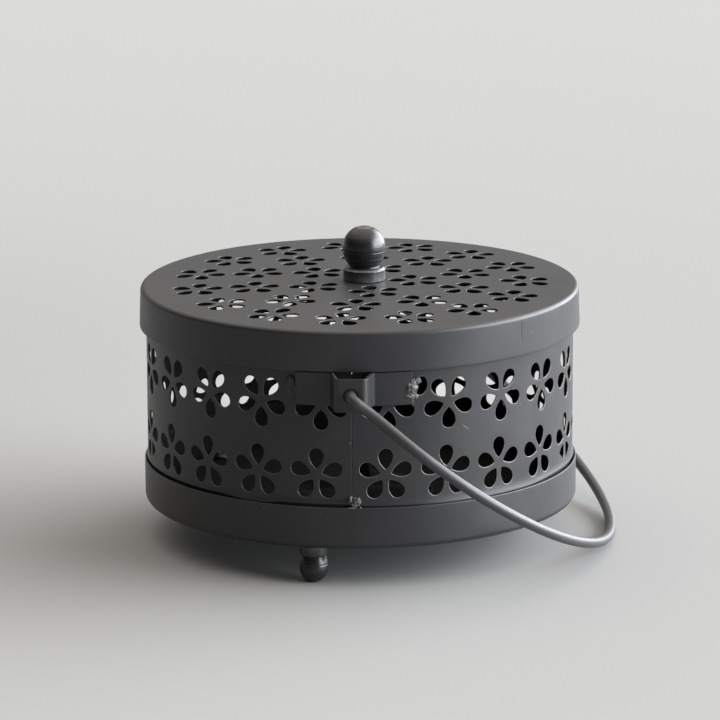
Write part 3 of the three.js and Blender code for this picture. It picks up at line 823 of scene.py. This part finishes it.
def lid_shell(sizes):
    """The pressed lid: a crowned face with rings of flowers, a rounded edge and a skirt with a faint seam"""
    edge, sheet = sizes.lid_edge, sizes.sheet
    middle = sizes.lid_radius - edge
    angles = ring_angles(264, SKIRT_SEAM - math.pi / 2)
    loops = [circle(middle, angles), hole(KNOB_HOLE, 24, (sizes.knob_slip, 0))]
    shape = sizes.lid_petal_tip, sizes.lid_petal_length, sizes.petal_width
    for row, turn in enumerate(LID_TURNS):
        count = 5 * (row + 1)
        for i in range(count):
            at = math.pi / 2 - math.radians(turn) - TURN * i / count
            place = (sizes.ring_radius + sizes.ring_pitch * row) * np.array([math.cos(at), math.sin(at)])
            loops += flower(place * LID_STRETCH + LID_SHIFT, *shape, at + math.pi)
    # the inner face is darkened with soot and painted shade, and the holes' rims get a painted highlight
    sections = [[(0, 0, 0), (0, sheet, -1)]] + [punched(sizes, 0.3, 0.55)] * (len(loops) - 1)
    shell = Shell()

    def pressed(points, depth):
        x, y = points[:, 0], points[:, 1]
        reach = np.clip(1 - (np.hypot(x, y) / middle) ** 6, 0, 1)
        uneven = UNEVEN * (np.sin(95 * x + 1) * np.sin(80 * y) + 0.5 * np.sin(160 * x - 120 * y))
        return np.column_stack([points, sizes.lid_top - depth + lid_crown(sizes, points) + uneven * reach])

    outer, inner = pierced(shell, loops, sections, pressed, LID_GRID, open_outline=True)
    shoulder, hem = sizes.lid_top - edge, sizes.lid_top - sizes.lid_skirt

    def flare(height):
        return sizes.lid_flare * (shoulder - height) / (shoulder - hem)

    rise = np.linspace(math.radians(87), 0, 10)
    walls = np.linspace(shoulder, hem + 0.25 * MM, 12)[1:]
    wide, small = sizes.lid_radius + sizes.lid_flare, edge - sheet
    profile = [(middle + edge * math.cos(a), shoulder + edge * math.sin(a), 0.0) for a in rise]
    profile += [(sizes.lid_radius + flare(z), z, 0.0) for z in walls]
    outside = len(profile)
    # the hem gets a faint painted highlight, and the inside is darkened with soot and painted shade
    profile += [
        (wide - 0.03 * MM, hem + 0.1 * MM, 0.1),
        (wide - 0.14 * MM, hem, 0.1),
        (wide - sheet + 0.12 * MM, hem, 0.0),
        (wide - sheet, hem + 0.1 * MM, -0.2),
    ]
    profile += [(sizes.lid_radius - sheet + flare(z), z, -0.8) for z in walls[::-1]]
    profile += [(middle + small * math.cos(a), shoulder + small * math.sin(a), -1.0) for a in rise[::-1]]
    loops = []
    off = (angles + math.pi / 2 - SKIRT_SEAM + math.pi) % TURN - math.pi
    for i, (radius, height, rub_soot_and_painted_light) in enumerate(profile):
        below = np.clip((shoulder - height) / (shoulder - hem), 0, 1)
        groove = GROOVE_DEEP * np.exp(-((off * radius / GROOVE_WIDE) ** 2)) * float(i < outside)
        groove *= np.clip(below * 8, 0, 1) * np.clip((GROOVE_LONG - below) * 8, 0, 1)
        bent = BENT * below * (np.sin(2 * angles + 1) + 0.7 * np.sin(5 * angles)) - BENT * below
        loops.append(ring(shell, radius - groove + bent, angles, height, rub_soot_and_painted_light))
    shell.join([outer, *loops, inner])
    return shell


class Line:
    """A line in a plane by the distance along it, with its normals"""

    def __init__(self, points, step):
        points = spaced(points, step, closed=False)
        gaps = np.linalg.norm(np.diff(points, axis=0), axis=1)
        self.at = np.concatenate([[0], np.cumsum(gaps)])
        self.points = points
        along = np.gradient(points, self.at, axis=0)
        along /= np.linalg.norm(along, axis=1, keepdims=True)
        self.normals = np.stack([-along[:, 1], along[:, 0]], 1)

    def place(self, at, aside):
        """Points at distances along the line, moved aside to its left"""
        put = [np.interp(at, self.at, self.points[:, k]) for k in (0, 1)]
        out = [np.interp(at, self.at, self.normals[:, k]) for k in (0, 1)]
        out = np.stack(out, 1) / np.hypot(*out)[:, None]
        return np.stack(put, 1) + out * np.reshape(aside, (-1, 1))


def bracket_shell(sizes, turn):
    """A strip bent to a hat, with flanges that follow the wall and a hole for the bail"""
    root = math.asin(sizes.hat_root / 2 / sizes.flange_radius)
    hat_radius = sizes.flange_radius + sizes.hat_depth
    halves = []
    for side in (1, -1):
        end = (sizes.bracket_half_span + side * sizes.bracket_slip) / sizes.flange_radius
        flange = on_cylinder(sizes.flange_radius, np.linspace(end, root, 8), 0.0)[:, :2]
        halves.append(np.vstack([flange, (sizes.hat_face / 2, -hat_radius)]) * (side, 1))
    radii = np.array([0.0] * 7 + [2.0 * MM, 0.9 * MM])
    hat = eased(np.vstack([halves[0], halves[1][::-1]]), np.append(radii, radii[::-1]), steps=8)
    line = Line(hat, 0.25 * MM)
    span, height = line.at[-1], sizes.bracket_height
    outline = spaced(eased(rectangle(0, 0, span, height), 0.4 * MM, closed=True, steps=4), BRACKET_GRID)
    loops = [outline, hole(sizes.pivot_hole, 48, (span / 2 + sizes.bracket_slip, height / 2))]
    # painted highlight: the strip's outline and the hole's rim are lightened where the rolled edge catches
    # the light
    sections = [edge_section(sizes.bracket_sheet, 0.28 * MM, sizes.burr, rub_soot_and_painted_light) for rub_soot_and_painted_light in (1.0, 0.4)]

    def bent(points, depth):
        # the line runs from +X to -X in front of the wall, so its left is the wall's side
        flat = line.place(points[:, 0], depth - sizes.bracket_sheet / 2)
        return np.column_stack([spun(flat, turn), sizes.bracket_top - height + points[:, 1]])

    shell = Shell()
    pierced(shell, loops, sections, bent, BRACKET_GRID)
    return shell


def bead(lumps, seed, place, turn):
    """A crusted bead of weld metal, whose lumps are (offset, half sizes, how bare), in millimetres"""
    shell = Shell()
    for k, (offset, halves, bare) in enumerate(lumps):
        ball = bmesh.new()
        bmesh.ops.create_icosphere(ball, subdivisions=5 if max(halves) > 1 else 4, radius=1)
        points, wear = [], []
        for v in ball.verts:
            at = v.co * 1.4 + Vector((seed + 3 * k, 2 * seed, k))
            swell = 1 + 0.32 * noise.fractal(at, 0.7, 2.2, 4)
            points.append([(c * h * swell + o) * MM for c, h, o in zip(v.co, halves, offset)])
            wear.append(bare * (0.75 + 0.9 * noise.noise(at * 1.7)))
        numbers = shell.add(points, np.clip(wear, 0, 1))
        shell.faces += [[int(numbers[v.index]) for v in face.verts] for face in ball.faces]
        ball.free()
    return shell.moved(Matrix.Translation(place) @ Matrix.Rotation(turn, 4, "Z"))


# Lumps of the beads: the one beside the slot, the one that is painted over, and the seam's with its tack
SLOT_BEAD = (
    ((-0.4, 0, 0.4), (2.1, 0.95, 2.5), 0.35),
    ((1.5, 0.1, 2.7), (1.3, 0.6, 0.95), 0.9),
    ((0.6, -0.3, 2.2), (0.7, 0.6, 0.8), 1.0),
    ((0.2, -0.2, -2.1), (1.7, 0.7, 0.75), 1.0),
    ((1.1, 0.0, -1.9), (0.7, 0.7, 0.55), 1.0),
    ((-1.1, -0.5, 1.6), (0.5, 0.4, 0.4), 0.9),
    ((-1.6, -0.3, -2.0), (0.7, 0.5, 0.6), 0.6),
    ((0.1, -0.45, -4.0), (0.16, 0.12, 1.3), 0.8),
)
PAINTED_BEAD = (((-1.7, 0.45, 0.6), (2.2, 0.75, 3.4), 0.0), ((-0.3, 0.2, -0.4), (0.8, 0.9, 2.0), 0.0))
SEAM_BEAD = (
    ((0.9, 0, 0.6), (1.9, 0.9, 1.5), 0.3),
    ((-0.6, -0.1, 1.5), (0.5, 0.8, 1.1), 0.7),
    ((2.0, -0.1, 0.7), (0.6, 0.95, 1.4), 1.0),
    ((1.1, -0.5, -0.4), (0.7, 0.5, 0.5), 0.9),
    ((2.5, -0.95, -1.0), (0.32, 0.3, 0.3), 1.0),
    ((0.1, -0.5, -1.3), (1.8, 0.28, 0.17), 0.8),
    ((-0.8, 0, 20.0), (0.22, 0.25, 0.5), 0.9),
)


# The bail's rounded ends: millimetres from the wire's end, and the part of its thickness that it has there
WIRE_END = np.array([(0.0, 0.45), (0.12, 0.78), (0.35, 0.94), (0.7, 1.0)])


def bail_shell(sizes):
    """The bent wire of the bail, laid down on the table"""
    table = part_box("ball_foot_1")[0].z
    pivot = sizes.bracket_top - sizes.bracket_height / 2
    drop = pivot - table - sizes.wire_radius - 0.2 * MM
    out = sizes.pan_radius + sizes.crown_stand_off
    reach, rest = math.hypot(out, drop), math.atan2(drop, out)
    half_span, bend, bulge = sizes.bail_half_span, sizes.bail_bend, sizes.bail_bulge
    shoulder, quarter = sizes.bail_shoulder, math.pi / 2

    def parts(count, end=1.0):
        return np.linspace(0, end, count, endpoint=False)

    half = [(0.0, half_span - bend - sizes.bail_inset * (1 - u)) for u in parts(8)]
    half += [(bend * (1 - math.cos(a)), half_span - bend * (1 - math.sin(a))) for a in parts(20, quarter)]
    half += [
        (bend + (shoulder - bend) * u, half_span + bulge * (1 - math.cos(math.pi * u)) / 2) for u in parts(40)
    ]
    half += [
        (shoulder + (reach - shoulder) * math.sin(a), (half_span + bulge) * math.cos(a))
        for a in np.linspace(0, quarter, 90)
    ]
    half = np.array(half)
    line = Line(np.vstack([half * (1, -1), half[-2::-1]]), 1.2 * MM)
    angles = round_angles(28)
    near, full = WIRE_END[:, 0] * MM, WIRE_END[:, 1]
    stops = line.at[(line.at > MM) & (line.at < line.at[-1] - MM)]
    stops = np.concatenate([near, stops, line.at[-1] - near[::-1]])
    thick = np.interp(np.minimum(stops, line.at[-1] - stops), near, full)
    c, s = math.cos(rest), math.sin(rest)
    shell, loops = Shell(), []
    for at, wide in zip(stops, thick):
        radius = sizes.wire_radius * wide * (1 - 0.008 * (1 + math.sin(at * 310)))
        flat = line.place(np.full(len(angles), at), radius * np.cos(angles))
        over = radius * np.sin(angles)
        points = np.stack([flat[:, 0] * c + over * s, flat[:, 1], pivot - flat[:, 0] * s + over * c], 1)
        loops.append(shell.add(points, 0.5 if wide < 1 else 0.0))
    for loop in (loops[0], loops[-1]):
        middle = shell.add(np.mean(np.concatenate(shell.points)[loop], axis=0))
        shell.bridge(middle, loop)
    shell.join(loops)
    return shell


Ball = namedtuple("Ball", "collar collar_top chamfer neck ball middle flat bore depth stretch bands")

# The knob, and a foot upside down, in millimetres: a chamfered collar, a neck, a ball that is stretched below
# and flat on top, and a blind bore. Bands are grooves, as (height over the ball's middle, depth)
KNOB = Ball(
    collar=6.95, collar_top=4.25, chamfer=0.65, neck=5.0, ball=7.12, middle=10.84, flat=2.2, bore=2.1,
    depth=9, stretch=1.22, bands=((-4.6, 0.08), (-3.2, 0.11), (-0.9, 0.1), (4.4, 0.04)),
)
FOOT = Ball(
    collar=4.6, collar_top=3.3, chamfer=0.4, neck=3.75, ball=4.7, middle=7.9, flat=1.4, bore=1.8,
    depth=7, stretch=1.5, bands=((-1.6, 0.05), (1.9, 0.04)),
)


def ball_profile(sizes_mm, stretch):
    """A ball on a chamfered collar with a blind bore, as (radius, height) points and their wear, which
    lightens the collar's edges and the flat's rim as rubbed paint and painted highlight
    """
    collar, collar_top, chamfer, neck, ball, middle, flat, bore, depth = (s * MM for s in sizes_mm)
    lower = np.linspace(-math.acos(neck / ball), 0, 16)[:-1]
    upper = np.linspace(0, math.acos(flat / ball), 22)
    top = middle + ball * math.sin(upper[-1])
    points = [
        (0, depth, 0),
        (bore, depth, 0),
        (bore, 0.3 * MM, 0),
        (bore + 0.3 * MM, 0, 0),
        (collar - 0.3 * MM, 0, 0),
        (collar - 0.08 * MM, 0.08 * MM, 0.4),
        (collar, 0.3 * MM, 0.2),
        (collar, collar_top - chamfer - 0.12 * MM, 0),
        (collar - 0.04 * MM, collar_top - chamfer, 0.3),
        (collar - chamfer + 0.08 * MM, collar_top - 0.06 * MM, 0.1),
        (collar - chamfer - 0.1 * MM, collar_top, 0),
        (neck + 0.35 * MM, collar_top + 0.02 * MM, 0),
        (neck + 0.08 * MM, collar_top + 0.12 * MM, 0),
        (neck, collar_top + 0.4 * MM, 0),
    ]
    points += [(ball * math.cos(a), middle + stretch * ball * math.sin(a), 0) for a in lower]
    points += [(ball * math.cos(a), middle + ball * math.sin(a), 0) for a in upper[:-1]]
    return points + [(flat + 0.1 * MM, top - 0.04 * MM, 0.5), (flat - 0.25 * MM, top, 0.3), (0, top, 0)]


def ball_shell(made, count):
    """A ball turned on its collar, with fine tool marks and bands"""
    band_width, mark_depth, mark_pitch = 0.16, 0.008, 0.085 * MM
    profile = spaced(ball_profile(made[:9], made.stretch), 0.13 * MM, closed=False)
    middle = made.middle * MM
    for row in profile:
        up = (row[1] - middle) / MM
        cut = sum(deep * math.exp(-(((up - at) / band_width) ** 2)) for at, deep in made.bands)
        fine = mark_depth * math.sin(row[1] / mark_pitch)
        if row[0] > 3 * MM and row[1] > 0.5 * MM:
            row[0] -= (cut + 0.01 + fine) * MM
    return turned(profile[:, :2], count, worn=profile[:, 2])


def screw_shell(shank, reach, head, rise):
    """A pan-head screw with a cross recess and a rolled thread. Its shank hangs down from its head at 0"""
    pitch, deep = 0.7 * MM, 0.28 * MM
    shank, reach, head, rise = (s * MM for s in (shank, reach, head, rise))
    angles = round_angles(40)
    shell, loops = Shell(), []
    for z in np.arange(-reach, -0.35 * MM, pitch / 7):
        phase = (z / pitch - angles / TURN) % 1
        crest = np.clip(1.25 * (1 - np.abs(2 * phase - 1)), 0, 1)
        run_out = np.clip((z + reach) / (0.8 * MM), 0, 1)
        loops.append(shell.add(on_cylinder(shank - deep * (1 - crest * run_out), angles, z)))
    tip = shell.add([(0, 0, -reach)])
    under = [(shank, -0.3 * MM), (shank, -0.05 * MM), (head - 0.12 * MM, 0), (head, 0.12 * MM)]
    dome = eased([(head, 0.12 * MM), (head, rise * 0.45), (head * 0.62, rise), (0, rise)], 0.8 * MM)
    loops += [shell.add(on_cylinder(r, angles, z)) for r, z in under + [tuple(p) for p in dome[1:-1]]]
    arm_width, arm_reach, recess = 0.16 * head, 0.62 * head, 0.75 * rise
    for r in np.linspace(dome[-2][0], 0.03 * MM, 26)[1:]:
        flat = on_cylinder(r, angles, rise)[:, :2]
        low, high = np.sort(np.abs(flat), axis=1).T
        sunk = (low < arm_width) & (high < arm_reach)
        depth = np.where(sunk, recess * (1 - high / arm_reach * 0.5), 0)
        loops.append(shell.add(np.column_stack([flat, rise - depth])))
    middle = shell.add([(0, 0, rise * 0.25)])
    shell.join([tip, *loops, middle])
    return shell


def stand_shell(sizes):
    """A stamped disc with a spiked tongue cut from it and folded up at its middle"""
    radius, wide, tall, spike, point, slit = (s * MM for s in (24, 5, 18, 7, 2.4, 0.5))
    fold, foot = 0.8 * MM, 0.3 * MM
    outline = circle(radius, round_angles(160))
    tongue = [
        (wide / 2, foot),
        (wide / 2, tall - spike),
        (point / 2, tall - spike + 0.4 * MM),
        (point / 2, tall - 1.6 * MM),
        (0, tall),
    ]
    tongue += [(-x, y) for x, y in tongue[-2::-1]]
    aside, end = wide / 2 + slit, tall + slit
    window = [(-aside, foot), (-aside, end), (aside, end), (aside, foot)]
    slot = spaced(eased(tongue + window, 0.2 * MM, closed=True, steps=4), 0.5 * MM)
    base = sizes.sheet + 0.1 * MM

    def on_tongue(x, y):
        return (np.abs(x) < wide / 2 + slit / 2) & (y > 0) & (y < tall + slit / 2)

    def stamped(points, depth):
        """The disc lies flat, its outer face down, and the tongue turns up behind its fold"""
        rise = sizes.sheet - depth
        flat = level(points, rise)
        radius_here = fold - rise + sizes.sheet
        swing = np.clip(points[:, 1] / (fold + sizes.sheet / 2), 0, math.pi / 2)
        past = np.maximum(points[:, 1] - (fold + sizes.sheet / 2) * math.pi / 2, 0)
        up = np.column_stack([
            points[:, 0],
            radius_here * np.sin(swing),
            sizes.sheet + fold - radius_here * np.cos(swing) + past,
        ])
        return np.where(on_tongue(*points.T)[:, None], up, flat) + (0, 0, base)

    bevel = 0.08 * MM
    # the stand's edges are darkened with soot and painted shade
    edge = [(bevel, 0, -1), (0, bevel, -0.6), (0, sizes.sheet - bevel, -0.6), (bevel, sizes.sheet, -1)]
    shell = Shell()
    pierced(shell, [outline, slot[::-1]], [edge, edge], stamped, spacing=MM)
    return shell


# Operators, one for each piece or group of like pieces

UPSIDE_DOWN = Matrix.Rotation(math.pi, 4, "X")
CLEAR = 0.1 * MM  # between two pieces that are screwed together


def lifted(place, height):
    """The move to a place, and up from it by a height"""
    return Matrix.Translation((place[0], place[1], place[2] + height))


class Undoable:
    """What the operators share"""

    bl_options = {"REGISTER", "UNDO"}


class COILBOX_OT_pan(Undoable, bpy.types.Operator):
    """Press the pan that carries the wall and catches the ash"""

    bl_idname = "coil_box.pan"
    bl_label = "Pan"

    def execute(self, context):
        shell = pan_shell(context.scene.coil_box_sizes)
        add_piece(shell, "pressed_pan", "charcoal_paint", "box", "base_pan")
        return {"FINISHED"}


class COILBOX_OT_wall(Undoable, bpy.types.Operator):
    """Roll the pierced wall out of its punched strip"""

    bl_idname = "coil_box.wall"
    bl_label = "Wall"

    def execute(self, context):
        shell = wall_shell(context.scene.coil_box_sizes)
        add_piece(shell, "pierced_wall", "charcoal_paint", "box", "wall_band")
        return {"FINISHED"}


class COILBOX_OT_brackets(Undoable, bpy.types.Operator):
    """Bend the two bail brackets"""

    bl_idname = "coil_box.brackets"
    bl_label = "Brackets"

    def execute(self, context):
        for name, turn in (("front_bracket", FRONT), ("rear_bracket", REAR)):
            shell = bracket_shell(context.scene.coil_box_sizes, turn)
            add_piece(shell, "bent_" + name, "charcoal_paint", "box", name)
        return {"FINISHED"}


class COILBOX_OT_welds(Undoable, bpy.types.Operator):
    """Lay the weld beads at the brackets' ends and at the foot of the seam"""

    bl_idname = "coil_box.welds"
    bl_label = "Welds"

    def execute(self, context):
        sizes = context.scene.coil_box_sizes
        height = sizes.bracket_top - sizes.bracket_height / 2 - 0.7 * MM
        for end, turn in (("front", FRONT), ("rear", REAR)):
            for number, side, lumps in ((1, -1, PAINTED_BEAD), (2, 1, SLOT_BEAD)):
                reach = sizes.bracket_half_span + side * sizes.bracket_slip
                around = turn + side * (reach / sizes.flange_radius)
                place = on_cylinder(sizes.flange_radius, around, height)
                name = f"{end}_bracket_weld_{number}"
                shell = bead(lumps, seed=3.7 * number + turn, place=place, turn=around)
                add_piece(shell, name + "_bead", "weld_metal", "box", name)
        place = on_cylinder(sizes.band_radius + 0.2 * MM, 0.0, sizes.pan_height + 1.3 * MM)
        shell = bead(SEAM_BEAD, seed=11.2, place=place, turn=0.0)
        add_piece(shell, "seam_weld_bead", "weld_metal", "box", "seam_weld")
        return {"FINISHED"}


class COILBOX_OT_feet(Undoable, bpy.types.Operator):
    """Turn the three ball feet and their screws"""

    bl_idname = "coil_box.feet"
    bl_label = "Feet"

    def execute(self, context):
        sizes = context.scene.coil_box_sizes
        for number, at in enumerate(foot_places(sizes), 1):
            ball = ball_shell(FOOT, 96)
            ball.moved(lifted(at, -CLEAR) @ UPSIDE_DOWN)
            add_piece(ball, f"turned_ball_foot_{number}", "turned_paint", "box", f"ball_foot_{number}")
            screw = screw_shell(shank=1.45, reach=6, head=2.9, rise=1.7)
            screw.moved(lifted(at, sizes.sheet + CLEAR) @ Matrix.Rotation(0.7 * number, 4, "Z"))
            add_piece(screw, f"cross_foot_screw_{number}", "zinc_steel", "box", f"foot_screw_{number}")
        return {"FINISHED"}


class COILBOX_OT_stand(Undoable, bpy.types.Operator):
    """Stamp and fold the stand that spikes the coil"""

    bl_idname = "coil_box.stand"
    bl_label = "Coil stand"

    def execute(self, context):
        shell = stand_shell(context.scene.coil_box_sizes)
        add_piece(shell, "folded_coil_stand", "zinc_steel", "box", "coil_stand")
        return {"FINISHED"}


class COILBOX_OT_lid(Undoable, bpy.types.Operator):
    """Press the pierced lid"""

    bl_idname = "coil_box.lid"
    bl_label = "Lid"

    def execute(self, context):
        shell = lid_shell(context.scene.coil_box_sizes)
        add_piece(shell, "pierced_lid", "charcoal_paint", "lid", "lid_shell")
        return {"FINISHED"}


class COILBOX_OT_knob(Undoable, bpy.types.Operator):
    """Turn the ball knob, with its washer and screw under the lid"""

    bl_idname = "coil_box.knob"
    bl_label = "Knob"

    def execute(self, context):
        sizes = context.scene.coil_box_sizes
        at, top = (sizes.knob_slip, 0, 0), sizes.lid_top + sizes.lid_crown
        ball = ball_shell(KNOB, 144).moved(lifted(at, top + CLEAR))
        add_piece(ball, "turned_knob", "turned_paint", "lid", "lid_knob")
        under, thick, wide = top - sizes.sheet - CLEAR, 0.8 * MM, 4.8 * MM
        corners = eased(rectangle(KNOB_HOLE, -thick, wide, 0), 0.15 * MM, closed=True, steps=3)
        washer = turned(corners, 64, closed=True).moved(lifted(at, under))
        add_piece(washer, "plain_knob_washer", "zinc_steel", "lid", "knob_washer")
        screw = screw_shell(shank=1.75, reach=8, head=3.5, rise=2.1)
        screw.moved(lifted(at, under - thick - CLEAR) @ UPSIDE_DOWN)
        add_piece(screw, "cross_knob_screw", "zinc_steel", "lid", "knob_screw")
        return {"FINISHED"}


class COILBOX_OT_bail(Undoable, bpy.types.Operator):
    """Bend the wire bail"""

    bl_idname = "coil_box.bail"
    bl_label = "Bail"

    def execute(self, context):
        add_piece(bail_shell(context.scene.coil_box_sizes), "wire_bail", "wire_paint", "bail", "bail_handle")
        return {"FINISHED"}


# The room's light, laid over the dark in front. Each layer has its middle, in degrees from the front towards
# +X and degrees up, the cosines of the angles off it where it starts and is full, and its colour
DARK_FRONT = (0.012, 0.011, 0.010)
ROOM_LIGHTS = (
    ((170, 0), (-0.35, 0.7), (0.34, 0.34, 0.34)),
    ((182, 80), (0.4, 0.97), (1.99, 1.87, 1.70)),
    ((122, 8), (0.72, 0.95), (10.5, 10.8, 11.2)),
    ((88, 6), (0.74, 0.91), (15.84, 16.5, 17.16)),
)

# The floor's painted pool of light behind the box and painted shadow behind it on the left: the middle, how
# far each is drawn in across, the radii between which it fades, and how much paler it is
FLOOR_LIGHT_AND_SHADOW_PATCHES = (
    ((-0.005, 0.24), 2, (0.07, 0.15), 0.155),
    ((-0.36, 0.22), 1, (0.05, 0.42), -0.13),
)


class COILBOX_OT_stage(Undoable, bpy.types.Operator):
    """Set up the pale floor, the soft light and the camera"""

    bl_idname = "coil_box.stage"
    bl_label = "Stage"

    def execute(self, context):
        self.floor(context.scene.coil_box_looks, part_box("ball_foot_1")[0].z)
        self.light()
        self.camera()
        context.scene.view_settings.view_transform = "Standard"
        return {"FINISHED"}

    def floor(self, looks, height):
        """A wide plane whose colour carries painted light: a little paler towards its far end, with a painted
        pool of light behind the box and a painted shadow behind it on the left
        """
        half = 14.0
        mesh = bpy.data.meshes.new("floor")
        mesh.from_pydata([(*at, height) for at in rectangle(-half, -half, half, half)], [], [(0, 1, 2, 3)])
        f = finish("pale_floor")
        at = f.add("ShaderNodeTexCoord", output="Object")
        shade = 1 + f.add("ShaderNodeSeparateXYZ", {0: at}, output=1).over(0.15, 1.15) * 0.085
        for middle, drawn_in, fade, paler in FLOOR_LIGHT_AND_SHADOW_PATCHES:
            off = f.distance(at, (*middle, height), (drawn_in, 1, 1))
            shade = shade + (1 - off.over(*fade)) * paler
        base = f.add("ShaderNodeVectorMath", {0: looks.floor, "Scale": shade}, operation="SCALE")
        mesh.materials.append(f.surface(Base_Color=base, Roughness=0.75, Specular_IOR_Level=0.25))
        plane = bpy.data.objects.new("floor", mesh)
        bpy.context.scene.collection.objects.link(plane)

    def light(self):
        """A room that is dark in front, dim behind and pale above, with a wide window on the right"""
        room = bpy.data.worlds.new("room")
        f = Finish(room)
        at = f.add("ShaderNodeTexCoord", output="Generated")
        fill = DARK_FRONT
        for aim, (edge, full), colour in ROOM_LIGHTS:
            around, rise = map(math.radians, aim)
            toward = on_cylinder(math.cos(rise), around, math.sin(rise))
            fill = f.blend(fill, colour, f.vector("DOT_PRODUCT", at, toward).over(edge, full))
        light = f.add("ShaderNodeBackground", {"Color": fill, "Strength": 1.0})
        f.add("ShaderNodeOutputWorld", {"Surface": light})
        bpy.context.scene.world = room

    def camera(self):
        """A long lens that looks down on the box a little"""
        lens = bpy.data.cameras.new("camera")
        lens.lens, lens.sensor_width, lens.clip_start, lens.clip_end = 241.6, 36, 0.05, 60
        holder = bpy.data.objects.new("camera", lens)
        yaw, pitch, roll = math.radians(2.1), 0.234, -0.0056
        aim = Matrix.Rotation(yaw, 4, "Z") @ Matrix.Rotation(math.pi / 2 - pitch, 4, "X")
        place = Matrix.Translation((57.1 * MM, -1556.2 * MM, 416.5 * MM))
        holder.matrix_world = place @ aim @ Matrix.Rotation(roll, 4, "Z")
        bpy.context.scene.collection.objects.link(holder)
        bpy.context.scene.camera = holder


PIECES = (
    COILBOX_OT_stage,
    COILBOX_OT_pan,
    COILBOX_OT_wall,
    COILBOX_OT_brackets,
    COILBOX_OT_welds,
    COILBOX_OT_feet,
    COILBOX_OT_stand,
    COILBOX_OT_lid,
    COILBOX_OT_knob,
    COILBOX_OT_bail,
)


class COILBOX_PT_panel(bpy.types.Panel):
    """The coil box's pieces, sizes and finishes"""

    bl_idname = "COILBOX_PT_panel"
    bl_label = "Coil Box"
    bl_space_type = "VIEW_3D"
    bl_region_type = "UI"
    bl_category = "Coil Box"

    def draw(self, context):
        for operator in PIECES:
            self.layout.operator(operator.bl_idname)
        for group in (context.scene.coil_box_sizes, context.scene.coil_box_looks):
            column = self.layout.column()
            for name in group.__annotations__:
                column.prop(group, name)


CLASSES = (CoilBoxSizes, CoilBoxLooks, *PIECES, COILBOX_PT_panel)


def register():
    for made in CLASSES:
        bpy.utils.register_class(made)
    bpy.types.Scene.coil_box_sizes = bpy.props.PointerProperty(type=CoilBoxSizes)
    bpy.types.Scene.coil_box_looks = bpy.props.PointerProperty(type=CoilBoxLooks)


def unregister():
    del bpy.types.Scene.coil_box_looks
    del bpy.types.Scene.coil_box_sizes
    for made in reversed(CLASSES):
        bpy.utils.unregister_class(made)


def main():
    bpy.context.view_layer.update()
    register()
    for operator in PIECES:
        group, name = operator.bl_idname.split(".")
        getattr(getattr(bpy.ops, group), name)()
    bpy.context.view_layer.update()


if __name__ == "__main__":
    main()
